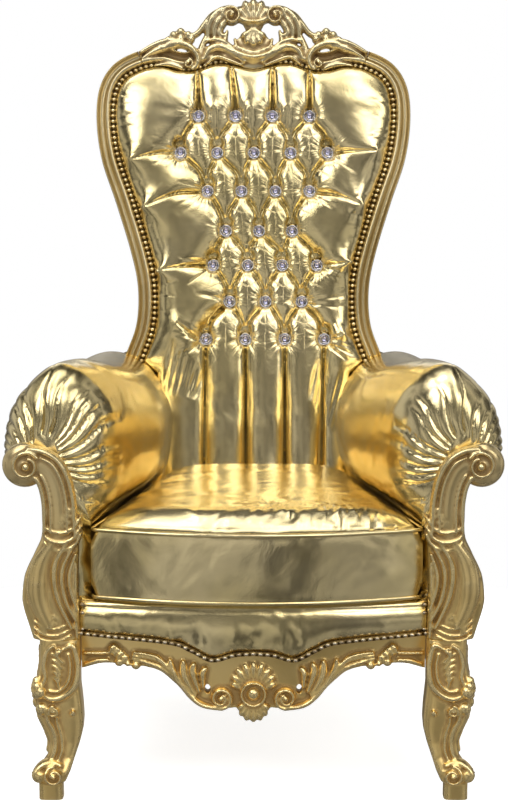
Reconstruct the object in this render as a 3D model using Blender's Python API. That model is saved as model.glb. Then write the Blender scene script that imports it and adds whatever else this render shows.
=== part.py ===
"""A carved, gilded throne with a tall tufted back, scrolled arms and a loose seat cushion.

Metres, +Z up. The front faces -Y, and the origin is on the floor under the middle of the throne.
"""

import math

import bmesh
import bpy
from mathutils import Matrix, Vector

# Overall sizes.
ARM_HALF_WIDTH = 0.440  # from the middle to the outside of an arm roll
JOINT = 0.0004  # clearance between neighbouring pieces

# Heights above the floor.
LEG_TOP = 0.285
SIDE_RAIL_BOTTOM = 0.236
FRAME_TOP = 0.290  # top of the side and rear rails
DECK_BASE = 0.300
DECK_TOP = 0.352
CUSHION_THICKNESS = 0.128
CUSHION_CROWN = 0.016
SCROLL_HEIGHT = 0.592  # eye of the arm scroll
HIP_HEIGHT = 0.700  # where the back frame leaves the arms
ARM_TOP = HIP_HEIGHT + 0.055
BACK_RISE = 0.606  # from there to the top of the frame
CREST_RISE = 0.094  # from the top of the frame to the tip of the shell

# The leaning plane of the back. It passes through this point, measured from the front of the cushion.
BACK_FROM_FRONT = 0.610
BACK_LEVEL = 0.470
LEAN = math.radians(11.2)
FRAME_FACE = 0.037
FRAME_BEHIND = 0.024

# The cushion's bow is the front of the throne and the top of the leaning frame is its rear.
DEPTH = BACK_FROM_FRONT + math.tan(LEAN) * (HIP_HEIGHT + BACK_RISE - BACK_LEVEL) + FRAME_BEHIND / math.cos(LEAN)
FRONT = -DEPTH / 2
REAR = DEPTH / 2

# Back frame, a moulding that follows one outline.
FRAME_HALF_WIDTH = 0.311
FRAME_OUTLINE = (
    (0.815, 0.000), (0.747, 0.100), (0.738, 0.215), (0.783, 0.330), (0.880, 0.490), (0.972, 0.630),
    (1.006, 0.760), (0.985, 0.865), (0.897, 0.938), (0.740, 0.981), (0.580, 0.993), (0.430, 0.978),
    (0.270, 1.000), (0.130, 1.000), (0.000, 0.984),
)
FRAME_PROFILE = ((0.00, 0.020), (0.16, 0.027), (0.30, 0.014), (0.62, 0.012), (0.80, 0.028), (1.00, 0.022))
STILE_SPANS = 9  # spans of the outline that the stile covers, the rest is the crest rail
SPAN_STEPS = 2

# Tufted inside back and the plain outside back.
PAD_THICKNESS = 0.046
PAD_BEHIND = 0.014
PAD_FOOT_HALF_WIDTH = 0.192
PAD_FOOT = 0.360
PAD_NECK = 0.024  # how far below the frame the inside back narrows to fit between the arms
PAD_COLUMNS = 14
PAD_ROWS = 24
OUTER_BACK_THICKNESS = 0.014

# Crystal buttons: how many in a row, their spacing, where the row is centred, and its height.
BUTTON_RADIUS = 0.0115
BUTTON_HEIGHT = 0.010
WELL_CLEARANCE = 0.0015
WELL_FLOOR = 0.018
BUTTON_ROWS = (
    (4, 0.0735, 0.001, 1.166), (5, 0.0730, 0.001, 1.094), (4, 0.0675, 0.010, 1.019), (3, 0.0655, 0.011, 0.941),
    (4, 0.0685, 0.023, 0.874), (3, 0.0715, 0.024, 0.803), (4, 0.0780, 0.023, 0.730),
)

# The rear end of each arm: how far out its roll and its outside panel are, and its top.
REAR_ROLL_HALF_WIDTH = ARM_HALF_WIDTH - 0.035
REAR_PANEL_HALF_WIDTH = REAR_ROLL_HALF_WIDTH - 0.045
ARM_REAR_TOP = HIP_HEIGHT + 0.006
ARM_REAR = (REAR_ROLL_HALF_WIDTH, REAR_PANEL_HALF_WIDTH, ARM_REAR_TOP, SCROLL_HEIGHT)

# Section of an arm: steps from its inner face and its top, then from its outer side and its top,
# then from its outer side and the height of the scroll.
INSIDE_ROLL = ((0.012, 0.085), (0.050, 0.025))
OUTSIDE_ROLL = ((0.060, 0.022), (0.016, 0.075))
ROLL_UNDERSIDE = ((0.000, -0.020), (0.010, 0.018), (0.040, 0.042))
PANEL_DROP = 0.054
INSIDE_RISE = 0.100
PANEL_INSET = 0.006

# Seat.
CUSHION_FRONT_HALF_WIDTH = 0.285
CUSHION_BACK_HALF_WIDTH = 0.170
CUSHION_SHIFT = 0.010  # the loose cushion lies a little to one side
CUSHION_BOW = 0.055
CUSHION_RISE = 0.010  # the top edge is this much higher in the middle
CUSHION_EDGE = 0.012
DECK_SETBACK = 0.026  # face of the deck behind the cushion's bow
DECK_BOW = 0.030
SEAT_CLEARANCE = 0.004  # between the cushion and what is round it

# Front rail with its carved apron.
RAIL_THICKNESS = 0.036
APRON_RELIEF = 0.012
APRON_GAP = 0.003  # between the legs and the ends of the front rail
APRON_TOP = ((0.000, 0.261), (0.033, 0.2585), (0.072, 0.249), (0.108, 0.266), (0.150, 0.2795), (0.300, 0.290))
APRON_LOW = (
    (0.000, 0.168), (0.045, 0.163), (0.078, 0.163), (0.108, 0.180), (0.138, 0.210), (0.172, 0.232),
    (0.250, 0.239), (0.300, 0.226),
)

# Arm posts and front legs.
POST_SETBACK = 0.025
POST_THICKNESS = 0.052
POST_INNER = 0.3025
LEG_INNER = 0.3015
SCROLL_FROM_MIDDLE = 0.394
SCROLL_RADIUS = 0.040

# The arm post: how far out its middle is and how high above the leg, then how far in from and how
# far below the eye of the scroll; and its half width along that path.
POST_RISE = ((0.340, -0.008), (0.3475, 0.035), (0.3525, 0.070), (0.350, 0.105), (0.342, 0.139), (0.335, 0.172))
POST_NECK = ((0.060, 0.100), (0.059, 0.062), (0.051, 0.025), (0.034, 0.000), (0.000, -0.009))
POST_WIDTHS = (
    (0.0, 0.040), (0.1, 0.0455), (0.2, 0.050), (0.3, 0.048), (0.4, 0.0405), (0.5, 0.0335), (0.6, 0.030),
    (0.7, 0.0295), (0.8, 0.029), (1.0, 0.028),
)
FOOT_BLOCK = 0.042
FOOT_HEIGHT = 0.034
# Sections of a front leg from the top down: height, inner and outer side, front and rear behind the front.
LEG_SECTIONS = (
    (LEG_TOP + 0.010, 0.302, 0.373, 0.032, 0.092), (0.240, 0.3025, 0.373, 0.030, 0.096),
    (0.200, 0.3025, 0.381, 0.026, 0.098), (0.165, 0.2985, 0.379, 0.026, 0.092), (0.141, 0.297, 0.376, 0.029, 0.087),
    (0.122, 0.2985, 0.366, 0.031, 0.081), (0.100, 0.304, 0.3575, 0.032, 0.074), (0.076, 0.312, 0.361, 0.028, 0.068),
    (0.052, 0.320, 0.378, 0.014, 0.066), (FOOT_HEIGHT, 0.328, 0.380, 0.014, 0.062),
    (FOOT_HEIGHT - 0.004, 0.334, 0.334 + FOOT_BLOCK, 0.020, 0.062), (-0.010, 0.334, 0.334 + FOOT_BLOCK, 0.022, 0.064),
)
KNEE_REACH = 0.288  # how near the middle a leg may come below the ends of the front rail
KNEE_TOP = 0.206

# Side and rear rails, rear legs.
SIDE_RAIL_THICKNESS = 0.034
REAR_LEG_FROM_MIDDLE = 0.348
REAR_LEG_THICKNESS = 0.050
REAR_FOOT_THICKNESS = 0.038
REAR_LEG_SWEEP = 0.135
REAR_LEG_SPLAY = 0.028

# Carving is fused to this grain, then faceted to a number of triangles for each piece.
GRAIN = 0.0042
CREST_FACETS = 1480
APRON_FACETS = 1050
POST_FACETS = 440
LEG_FACETS = 460


def material(name, colour, roughness, metallic, transmission=0.0):
    made = bpy.data.materials.new(name)
    made.use_nodes = True
    shader = made.node_tree.nodes["Principled BSDF"]
    shader.inputs["Base Color"].default_value = (*colour, 1.0)
    shader.inputs["Roughness"].default_value = roughness
    shader.inputs["Metallic"].default_value = metallic
    shader.inputs["Transmission Weight"].default_value = transmission
    return made


def smooth_curve(points, steps):
    """A curve through the points, with so many steps between one and the next."""
    through = [Vector(p) for p in points]
    run = [2 * through[0] - through[1], *through, 2 * through[-1] - through[-2]]
    curve = []
    for before, start, end, after in zip(run, run[1:], run[2:], run[3:]):
        for step in range(steps):
            t = step / steps
            bend = 2 * before - 5 * start + 4 * end - after
            twist = 3 * start - before - 3 * end + after
            curve.append(0.5 * (2 * start + (end - before) * t + bend * t * t + twist * t**3))
    return [*curve, through[-1]]


def between(table, value):
    """Reads a table of (place, size) pairs at any place, in a straight line between its rows."""
    for (a, low), (b, high) in zip(table, table[1:]):
        if value <= b:
            return low + (high - low) * max(0.0, (value - a) / (b - a))
    return table[-1][1]


def skin(bm, rings, caps=None):
    """Closes a skin over rings of points. Each end has one face, or one for each group of places in caps."""
    rows = [[bm.verts.new(p) for p in ring] for ring in rings]
    count = len(rings[0])
    for low, high in zip(rows, rows[1:]):
        for i in range(count):
            j = (i + 1) % count
            bm.faces.new((low[i], low[j], high[j], high[i]))
    for group in caps or [range(count)]:
        bm.faces.new([rows[0][i] for i in group][::-1])
        bm.faces.new([rows[-1][i] for i in group])


def piece(name, bm, finish):
    """Makes a named object of the mesh, with its faces pointing out."""
    bmesh.ops.recalc_face_normals(bm, faces=bm.faces)
    mesh = bpy.data.meshes.new(name)
    bm.to_mesh(mesh)
    bm.free()
    mesh.materials.append(finish)
    mesh.shade_smooth()
    mesh.set_sharp_from_angle(angle=math.radians(40))
    made = bpy.data.objects.new(name, mesh)
    bpy.context.scene.collection.objects.link(made)
    return made


def helper(name, bm):
    """A cutter: it shapes another piece and isn't part of the throne."""
    made = piece(name, bm, FINISH["gilt_wood"])
    made.hide_render = True
    made.display_type = "WIRE"
    return made


def boolean(made, other, operation):
    change = made.modifiers.new(operation.lower(), "BOOLEAN")
    change.operation = operation
    change.object = other
    return change


def evaluated_mesh(made):
    bpy.context.view_layer.update()
    graph = bpy.context.evaluated_depsgraph_get()
    return bpy.data.meshes.new_from_object(made.evaluated_get(graph))


def carved(name, bm, finish, facets, envelope):
    """Fuses overlapping shapes into one carved body, facets it, and trims it to its joints."""
    made = piece(name, bm, finish)
    fuse = made.modifiers.new("fuse", "REMESH")
    fuse.mode = "VOXEL"
    fuse.voxel_size = GRAIN
    mesh = evaluated_mesh(made)
    mesh.calc_loop_triangles()
    facet = made.modifiers.new("facet", "DECIMATE")
    facet.ratio = min(1.0, facets / len(mesh.loop_triangles))
    boolean(made, envelope, "INTERSECT")
    return made


def mirrored(made, name):
    """The same piece for the other side of the throne."""
    mesh = evaluated_mesh(made)
    mesh.name = name
    mesh.transform(Matrix.Diagonal((-1, 1, 1, 1)))
    mesh.flip_normals()
    other = bpy.data.objects.new(name, mesh)
    bpy.context.scene.collection.objects.link(other)
    return other


def prism(name, outline, place, low, high):
    """A cutter of an outline in two directions, run from low to high in the third."""
    bm = bmesh.new()
    skin(bm, [[place(u, v, low) for u, v in outline], [place(u, v, high) for u, v in outline]])
    return helper(name, bm)


def strand(bm, place, path, widths, heights, sides=6, steps=2):
    """A tapered strand of oval section that follows a path, the stroke that carving is made of."""
    curve = smooth_curve(path, steps)
    rings = []
    for i, point in enumerate(curve):
        share = i / (len(curve) - 1)
        along = curve[min(i + 1, len(curve) - 1)] - curve[max(i - 1, 0)]
        across = Vector((-along.y, along.x)).normalized()
        wide = between(widths, share)
        high = between(heights, share)
        turns = [2 * math.pi * k / sides for k in range(sides)]
        rings.append([
            place(
                point.x + across.x * wide * math.cos(a),
                point.y + across.y * wide * math.cos(a),
                high * math.sin(a),
            )
            for a in turns
        ])
    skin(bm, rings)


def spiral(centre, start_radius, end_radius, start_turn, turns, points=10):
    """The path of a volute, from its outside in."""
    path = []
    for i in range(points):
        share = i / (points - 1)
        radius = start_radius + (end_radius - start_radius) * share
        angle = start_turn + 2 * math.pi * turns * share
        path.append((centre[0] + radius * math.cos(angle), centre[1] + radius * math.sin(angle)))
    return path


def volute(bm, place, centre, radius, start_turn, turns, height):
    """A rolled scroll with a round eye."""
    strand(bm, place, spiral(centre, radius * 0.76, radius * 0.25, start_turn, turns),
           ((0, radius * 0.30), (1, radius * 0.20)), ((0, height), (1, height * 1.1)))
    boss(bm, place, centre, radius * 0.34, height * 1.3)
    boss(bm, place, centre, radius * 0.80, height * 0.45)


def boss(bm, place, centre, radius, height, sides=10):
    """A low round dome."""
    rings = []
    for level in (-1.0, -0.7, 0.0, 0.7, 0.95):
        shrink = math.sqrt(max(0.06, 1 - level * level))
        rings.append([
            place(
                centre[0] + radius * shrink * math.cos(2 * math.pi * k / sides),
                centre[1] + radius * shrink * math.sin(2 * math.pi * k / sides),
                height * level,
            )
            for k in range(sides)
        ])
    skin(bm, rings)


def fan(bm, place, centre, heading, spread, lobes, reach, width, height):
    """The lobes of a shell or palmette, spread round a heading; the middle lobe reaches furthest."""
    for i in range(lobes):
        share = (i / (lobes - 1) - 0.5) * 2
        angle = heading + spread * share
        length = reach * (1 - 0.22 * share * share)
        path = [
            (centre[0] + length * t * math.cos(angle), centre[1] + length * t * math.sin(angle))
            for t in (0.05, 0.55, 1.0)
        ]
        strand(bm, place, path, ((0, width * 0.45), (0.7, width), (1, width * 0.55)),
               ((0, height * 0.8), (0.8, height), (1, height * 0.5)))


def both_sides(draw):
    """Draws an ornament on the right and again, mirrored, on the left."""
    for side in (1, -1):
        draw(side)


def sided(side, points):
    return [(side * u, v) for u, v in points]


def back_plane(height):
    """Distance along Y of the back's own plane at a height."""
    return FRONT + BACK_FROM_FRONT + math.tan(LEAN) * (height - BACK_LEVEL)


def on_back(x, height, out):
    """A point of the back, `out` in front of its plane."""
    return Vector((x, back_plane(height) - out * math.cos(LEAN), height + out * math.sin(LEAN)))


def frame_rungs():
    """Pairs of inner and outer points along the right half of the back frame, from hip to middle."""
    outline = [(FRAME_HALF_WIDTH * w, HIP_HEIGHT + BACK_RISE * h) for w, h in FRAME_OUTLINE]
    outer = smooth_curve(outline, SPAN_STEPS)
    rungs = []
    for i, point in enumerate(outer):
        along = outer[min(i + 1, len(outer) - 1)] - outer[max(i - 1, 0)]
        if i == len(outer) - 1:
            along = Vector((-1, 0))
        inward = Vector((-along.y, along.x)).normalized()
        rungs.append((point + inward * FRAME_FACE, point))
    return rungs


def moulding_ring(inner, outer):
    """The section of the back frame's moulding between an inner and an outer point."""
    section = [(0.0, -FRAME_BEHIND), *FRAME_PROFILE, (1.0, -FRAME_BEHIND)]
    return [on_back(*inner.lerp(outer, share), out) for share, out in section]


def build_back_frame():
    """Two stiles and the carved crest rail."""
    rungs = frame_rungs()
    last = STILE_SPANS * SPAN_STEPS
    bm = bmesh.new()
    skin(bm, [moulding_ring(*rung) for rung in rungs[: last + 1]])
    right = piece("back_stile_right", bm, FINISH["gilt_wood"])
    mirrored(right, "back_stile_left")

    half = rungs[last:]
    whole = half + [(Vector((-i.x, i.y)), Vector((-o.x, o.y))) for i, o in half[-2::-1]]
    bm = bmesh.new()
    skin(bm, [moulding_ring(*rung) for rung in whole])
    top = HIP_HEIGHT + BACK_RISE
    carve_crest(bm, top)

    cut = (half[0][1] - half[0][0]).normalized()
    aside = Vector((-cut.y, cut.x)) * (JOINT if cut.y > 0 else -JOINT)
    inner = [i for i, _ in half]
    inner[0] = inner[0] + aside
    far = half[0][1] + aside + cut * 0.12
    shoulder = [far, Vector((FRAME_HALF_WIDTH, top + 0.2))]
    right_run = [*shoulder[::-1], *inner]
    outline = [tuple(p) for p in right_run] + [(-p.x, p.y) for p in right_run[-2::-1]]
    envelope = prism("crest_limit", outline, on_back, -0.030, 0.080)
    crest = carved("crest_rail", bm, FINISH["gilt_wood"], CREST_FACETS, envelope)
    holes = bmesh.new()

    def pierce(side):
        ring = [2 * math.pi * k / 10 for k in range(10)]
        skin(holes, [
            [on_back(side * (0.148 + 0.015 * math.cos(a)), top - 0.026 + 0.0085 * math.sin(a), out) for a in ring]
            for out in (-0.06, 0.10)
        ])

    both_sides(pierce)
    boolean(crest, helper("crest_holes", holes), "DIFFERENCE")


def carve_crest(bm, top):
    """Shell, volutes, acanthus and C-scrolls over the top rail; heights are from its top edge."""

    def place(u, v, out):
        return on_back(u, top + v, 0.018 + out)

    tip = CREST_RISE
    fan(bm, place, (0, tip - 0.055), math.pi / 2, math.radians(52), 7, 0.053, 0.0068, 0.013)
    fan(bm, place, (0, 0.037), -math.pi / 2, math.radians(46), 5, 0.038, 0.0056, 0.011)
    boss(bm, place, (0, 0.036), 0.019, 0.014)
    strand(bm, place, ((-0.026, 0.054), (-0.013, 0.046), (0, 0.044), (0.013, 0.046), (0.026, 0.054)),
           ((0, 0.004), (0.5, 0.005), (1, 0.004)), ((0, 0.013), (0.5, 0.018), (1, 0.013)))
    strand(bm, place, ((-0.047, 0.027), (-0.046, 0.006), (-0.034, -0.014), (0, -0.029), (0.034, -0.014), (0.046, 0.006),
                       (0.047, 0.027)),
           ((0, 0.004), (0.5, 0.007), (1, 0.004)), ((0, 0.011), (0.5, 0.016), (1, 0.011)))

    def side_work(side):
        turn = 0 if side > 0 else math.pi
        volute(bm, place, (side * 0.044, 0.055), 0.0205, turn, side * 1.4, 0.016)
        boss(bm, place, (side * 0.025, 0.031), 0.0065, 0.013)
        strand(bm, place, sided(side, ((0.044, 0.073), (0.064, 0.068), (0.085, 0.054), (0.104, 0.032), (0.128, 0.010))),
               ((0, 0.005), (0.4, 0.008), (1, 0.005)), ((0, 0.012), (0.4, 0.015), (1, 0.009)))
        strand(bm, place, sided(side, ((0.062, 0.055), (0.078, 0.042), (0.089, 0.024), (0.088, -0.002))),
               ((0, 0.006), (0.5, 0.009), (1, 0.005)), ((0, 0.012), (1, 0.010)))
        strand(bm, place, sided(side, ((0.058, 0.044), (0.070, 0.031), (0.069, 0.020), (0.054, 0.017))),
               ((0, 0.006), (0.5, 0.009), (1, 0.005)), ((0, 0.012), (1, 0.009)))
        strand(bm, place, sided(side, ((0.020, -0.022), (0.042, -0.006), (0.064, 0.004), (0.086, 0.004), (0.102, -0.008))),
               ((0, 0.006), (0.5, 0.010), (1, 0.005)), ((0, 0.010), (0.6, 0.014), (1, 0.010)))
        strand(bm, place, sided(side, ((0.106, 0.024), (0.118, 0.006), (0.114, -0.014), (0.112, -0.036))),
               ((0, 0.005), (0.5, 0.006), (1, 0.006)), ((0, 0.009), (1, 0.012)))
        fan(bm, place, (side * 0.143, 0.004), math.radians(90 - side * 6), math.radians(55), 3, 0.024, 0.0065, 0.012)
        strand(bm, place, sided(side, ((0.214, -0.012), (0.194, -0.002), (0.168, 0.002), (0.138, 0.001), (0.116, -0.012))),
               ((0, 0.004), (0.4, 0.010), (1, 0.007)), ((0, 0.008), (0.4, 0.014), (1, 0.012)))
        strand(bm, place, sided(side, ((0.176, -0.002), (0.184, -0.018))),
               ((0, 0.008), (1, 0.004)), ((0, 0.012), (1, 0.008)))
        boss(bm, place, (side * 0.127, -0.036), 0.0095, 0.015)

    both_sides(side_work)


def inset_outline(gap):
    """The frame's inner edge as a closed outline, drawn in by a gap, down to the level of the hip."""
    inside = [i for i, _ in frame_rungs()]
    right = []
    for i, point in enumerate(inside):
        along = inside[min(i + 1, len(inside) - 1)] - inside[max(i - 1, 0)]
        if i == len(inside) - 1:
            along = Vector((-1, 0))
        right.append(point + Vector((-along.y, along.x)).normalized() * gap)
    return right + [Vector((-p.x, p.y)) for p in right[-2::-1]]


def button_places():
    """Where each crystal button is, as a distance from the middle and a height."""
    return [
        (centre + spacing * (i - (count - 1) / 2), height)
        for count, spacing, centre, height in BUTTON_ROWS
        for i in range(count)
    ]


def tuft_depth(x, height):
    """How far the padding is drawn in: deep at a button, less along the folds between rows."""
    away = min(math.hypot(x - bx, height - bz) for bx, bz in button_places())
    return (PAD_THICKNESS - WELL_FLOOR) * 0.6 * math.exp(-((away / 0.024) ** 2))


def build_back_pad():
    """The tufted inside back, drawn in at each button, with a well where each button sits."""
    outline = inset_outline(JOINT)
    highest = max(p.y for p in outline)
    widest = max(p.x for p in outline)
    rows = []
    for j in range(PAD_ROWS + 1):
        height = PAD_FOOT + (highest - PAD_FOOT) * j / PAD_ROWS
        row = []
        for i in range(PAD_COLUMNS + 1):
            x = widest * (2 * i / PAD_COLUMNS - 1)
            edge = min((Vector((x, height)) - p).length for p in outline)
            rim = min(1.0, 0.40 + edge / 0.075) if height > HIP_HEIGHT else 1.0
            row.append((x, height, PAD_THICKNESS * math.sin(rim * math.pi / 2) - tuft_depth(x, height)))
        rows.append(row)
    bm = bmesh.new()
    front = [[bm.verts.new(on_back(*p)) for p in row] for row in rows]
    for low, high in zip(front, front[1:]):
        for i in range(PAD_COLUMNS):
            bm.faces.new((low[i], low[i + 1], high[i + 1], high[i]))
    rim = front[0][:-1] + [r[-1] for r in front[:-1]] + front[-1][:0:-1] + [r[0] for r in front[:0:-1]]
    around = rows[0][:-1] + [r[-1] for r in rows[:-1]] + rows[-1][:0:-1] + [r[0] for r in rows[:0:-1]]
    behind = [bm.verts.new(on_back(x, z, -PAD_BEHIND)) for x, z, _ in around]
    for i in range(len(rim)):
        j = (i + 1) % len(rim)
        bm.faces.new((rim[j], rim[i], behind[i], behind[j]))
    bm.faces.new(behind)
    pad = piece("back_pad", bm, FINISH["gold_leather"])

    half = PAD_FOOT_HALF_WIDTH
    neck = outline[0].y - PAD_NECK
    shape = [(half, PAD_FOOT - 0.01), (half, neck), *(tuple(p) for p in outline), (-half, neck), (-half, PAD_FOOT - 0.01)]
    boolean(pad, prism("pad_limit", shape, on_back, -PAD_THICKNESS, PAD_THICKNESS * 3), "INTERSECT")

    wells = bmesh.new()
    for x, z in button_places():
        ring = [math.pi * k / 3 for k in range(6)]
        radius = BUTTON_RADIUS + WELL_CLEARANCE
        skin(wells, [
            [on_back(x + radius * math.cos(a), z + radius * math.sin(a), out) for a in ring]
            for out in (WELL_FLOOR, PAD_THICKNESS + 0.03)
        ])
    boolean(pad, helper("button_wells", wells), "DIFFERENCE")


def build_buttons():
    """Faceted crystal buttons, one in each well."""
    for number, (x, z) in enumerate(button_places(), 1):
        bm = bmesh.new()
        levels = ((1.00, 0.0), (0.60, 1.00))
        skin(bm, [
            [
                on_back(
                    x + BUTTON_RADIUS * share * math.cos(math.pi * k / 3),
                    z + BUTTON_RADIUS * share * math.sin(math.pi * k / 3),
                    WELL_FLOOR + JOINT + BUTTON_HEIGHT * up,
                )
                for k in range(6)
            ]
            for share, up in levels
        ])
        piece(f"crystal_button_{number:02d}", bm, FINISH["crystal"])


def arm_section(inner_low, inner, outer, panel, top, roll):
    """Section of an upholstered arm: seat side, roll and outside panel, as distance out and height."""
    seat = DECK_TOP + CUSHION_THICKNESS
    knee = inner + (inner_low - inner) * 0.40
    return [
        (inner_low, FRAME_TOP + JOINT),
        (inner_low, seat + 0.002),
        (knee, seat + INSIDE_RISE * 0.35),
        (inner, seat + INSIDE_RISE),
        *((inner + side, top - down) for side, down in INSIDE_ROLL),
        ((inner + outer) / 2, top),
        *((outer - side, top - down) for side, down in OUTSIDE_ROLL),
        *((outer - side, roll - down) for side, down in ROLL_UNDERSIDE),
        (panel, roll - PANEL_DROP),
        (panel, FRAME_TOP + JOINT),
    ]


def build_outer_back():
    """The plain outside back: one leaning panel, shaped to the frame and to the ends of the arms."""
    outer, panel, top, roll = ARM_REAR
    inset = PANEL_INSET
    base = FRAME_TOP + JOINT + (PAD_BEHIND + OUTER_BACK_THICKNESS) * math.sin(LEAN)
    right = inset_outline(JOINT)
    right = right[: len(right) // 2 + 1]
    (_, over), (cheek, waist), (tuck, under) = ROLL_UNDERSIDE
    (shoulder, shoulder_down), (flank, flank_down) = OUTSIDE_ROLL
    shape = [
        (panel - inset, base),
        (panel - inset, roll - PANEL_DROP),
        (outer - tuck, roll - under + inset),
        (outer - cheek - inset / 2, roll - waist + inset),
        (outer - inset, roll - over),
        (outer - flank - inset, top - flank_down - inset),
        (outer - shoulder - inset, top - shoulder_down - inset),
        (right[0].x + FRAME_FACE, top - shoulder_down),
        (right[0].x, top - shoulder_down),
        *(tuple(p) for p in right if p.y > top),
    ]
    outline = shape + [(-x, z) for x, z in shape[::-1] if x > 1e-6]
    bm = bmesh.new()
    inner = -PAD_BEHIND - JOINT
    skin(bm, [[on_back(u, v, out) for u, v in outline] for out in (inner - OUTER_BACK_THICKNESS, inner)])
    piece("outer_back", bm, FINISH["gold_leather"])


def cushion_side(y):
    """Half width of the seat cushion at a place from front to back."""
    start = FRONT + CUSHION_BOW
    end = back_plane(DECK_TOP) - PAD_THICKNESS
    share = min(1.0, max(0.0, (y - start) / (end - start)))
    return CUSHION_FRONT_HALF_WIDTH + (CUSHION_BACK_HALF_WIDTH - CUSHION_FRONT_HALF_WIDTH) * share


def build_arms():
    """Padded arms that run from the carved posts to the outside back."""
    start = FRONT + POST_SETBACK + POST_THICKNESS + JOINT
    clear = CUSHION_SHIFT + SEAT_CLEARANCE
    end = FRONT + BACK_FROM_FRONT
    outer, panel, top, roll = ARM_REAR
    front_panel = POST_INNER + 0.038
    stations = (
        (start, 0.50, 0.262, ARM_HALF_WIDTH, front_panel, ARM_TOP),
        (start + 0.010, 0.74, 0.254, ARM_HALF_WIDTH, front_panel, ARM_TOP),
        (start + 0.030, 0.92, 0.246, ARM_HALF_WIDTH, front_panel, ARM_TOP),
        (start + 0.075, 1.00, 0.236, ARM_HALF_WIDTH, front_panel, ARM_TOP),
        (start + 0.190, 1.00, 0.196, ARM_HALF_WIDTH - 0.010, front_panel + 0.002, ARM_TOP - 0.008),
        (start + 0.310, 1.00, 0.166, outer + 0.014, panel - 0.002, top + 0.022),
        (end, 1.00, 0.158, outer, panel, top),
    )
    bm = bmesh.new()
    rings = []
    for y, swell, inner, out_x, side, high in stations:
        low = cushion_side(y) + clear
        section = arm_section(max(low, inner), inner, out_x, side, high, roll)
        middle = Vector((SCROLL_FROM_MIDDLE - 0.025, SCROLL_HEIGHT))
        ring = []
        for x, z in section:
            point = Vector((x, z))
            if z > DECK_TOP + CUSHION_THICKNESS:
                point = middle + (point - middle) * swell
            place = y
            if y == end:
                place = back_plane(point.y) + (PAD_BEHIND) / math.cos(LEAN)
            ring.append((point.x, place, point.y))
        rings.append(ring)
    skin(bm, rings)
    right = piece("arm_pad_right", bm, FINISH["gold_leather"])
    half = PAD_FOOT_HALF_WIDTH + JOINT
    rungs = frame_rungs()
    foot, heel = rungs[0]
    out = (heel - foot).normalized()
    down = Vector((out.y, -out.x)) * JOINT * 2
    reach = [(0.0, 0.0), (half, 0.0), (half, foot.y - PAD_NECK - JOINT), tuple(foot + down), tuple(heel + down + out * JOINT)]
    reach += [tuple(o + (o - i).normalized() * JOINT) for i, o in rungs[1:6]]
    reach.append((0.0, reach[-1][1]))
    slot = prism("back_space", reach, on_back, -PAD_THICKNESS * 2, PAD_THICKNESS + JOINT)
    boolean(right, slot, "DIFFERENCE")
    mirrored(right, "arm_pad_left")


def build_cushion():
    """The loose seat cushion: a boxed, crowned pad with a bowed front."""
    base = DECK_TOP + JOINT
    back = back_plane(base) - PAD_THICKNESS - SEAT_CLEARANCE
    bm = bmesh.new()
    rings = []
    for share in (-1.0, -0.955, -0.7, -0.45, -0.2, 0.0, 0.2, 0.45, 0.7, 0.955, 1.0):
        face = FRONT + CUSHION_BOW * share * share
        edge = 1.0 if abs(share) == 1.0 else 0.0
        rise = (CUSHION_RISE + CUSHION_CROWN) * (1 - share * share)
        soft = CUSHION_EDGE
        top = base + CUSHION_THICKNESS
        section = (
            (face + soft, base + soft * 0.7 * edge), (face, base + soft), (face, top - soft),
            (face + soft, top - soft * 0.7 * edge), (face + 0.12, top), (back - 0.12, top), (back - soft, top),
            (back, top - soft), (back, base + soft), (back - soft, base + soft * 0.7 * edge),
        )
        ring = []
        for i, (y, z) in enumerate(section):
            lift = rise * (0.0, 0.0, 0.3, 0.4, 1.0, 1.0, 0.4, 0.2, 0.0, 0.0)[i]
            ring.append((CUSHION_SHIFT + cushion_side(y) * share, y, z + lift))
        rings.append(ring)
    skin(bm, rings)
    piece("seat_cushion", bm, FINISH["gold_leather"])


def rail_edge():
    """The top edge of the front rail, from its middle to its end."""
    top = smooth_curve(APRON_TOP, 2)
    half = LEG_INNER - APRON_GAP
    return [(p.x * half / top[-1].x, p.y) for p in top]


def rail_face(x):
    """Distance along Y of the front rail's face, which bows forward in the middle."""
    share = x / LEG_INNER
    return FRONT + DECK_SETBACK + DECK_BOW * share * share


def build_deck():
    """The upholstered seat deck. Its front border comes down over the front rail."""
    half = POST_INNER - JOINT * 2
    edge = rail_edge()
    stop = back_plane(DECK_BASE) - (PAD_THICKNESS + 0.012) / math.cos(LEAN)
    turn = FRONT + POST_SETBACK + POST_THICKNESS - JOINT * 2
    wide = [min(1.0, (cushion_side(y) + CUSHION_SHIFT) / half) for y in (turn, stop)]
    bm = bmesh.new()
    rings = []
    for x in [-half] + [-x for x, _ in edge[-2:0:-1]] + [x for x, _ in edge[:-1]] + [half]:
        low = between(edge, abs(x)) + JOINT
        face = rail_face(x)
        behind = min(face + RAIL_THICKNESS, turn - 0.002)
        rings.append([
            (x, face, low), (x, face - 0.008, (low + DECK_TOP) / 2), (x, face, DECK_TOP - 0.012),
            (x, face + 0.014, DECK_TOP), (x, turn, DECK_TOP), (x * wide[0], turn + JOINT, DECK_TOP),
            (x * wide[1], stop, DECK_TOP), (x * wide[1], stop, DECK_BASE), (x * wide[0], turn + JOINT, DECK_BASE),
            (x, turn, DECK_BASE), (x, behind, DECK_BASE), (x, behind - 0.001, low),
        ])
    skin(bm, rings, ((0, 1, 2, 3, 4, 9, 10, 11), (4, 5, 8, 9), (5, 6, 7, 8)))
    piece("seat_deck", bm, FINISH["gold_leather"])


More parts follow.
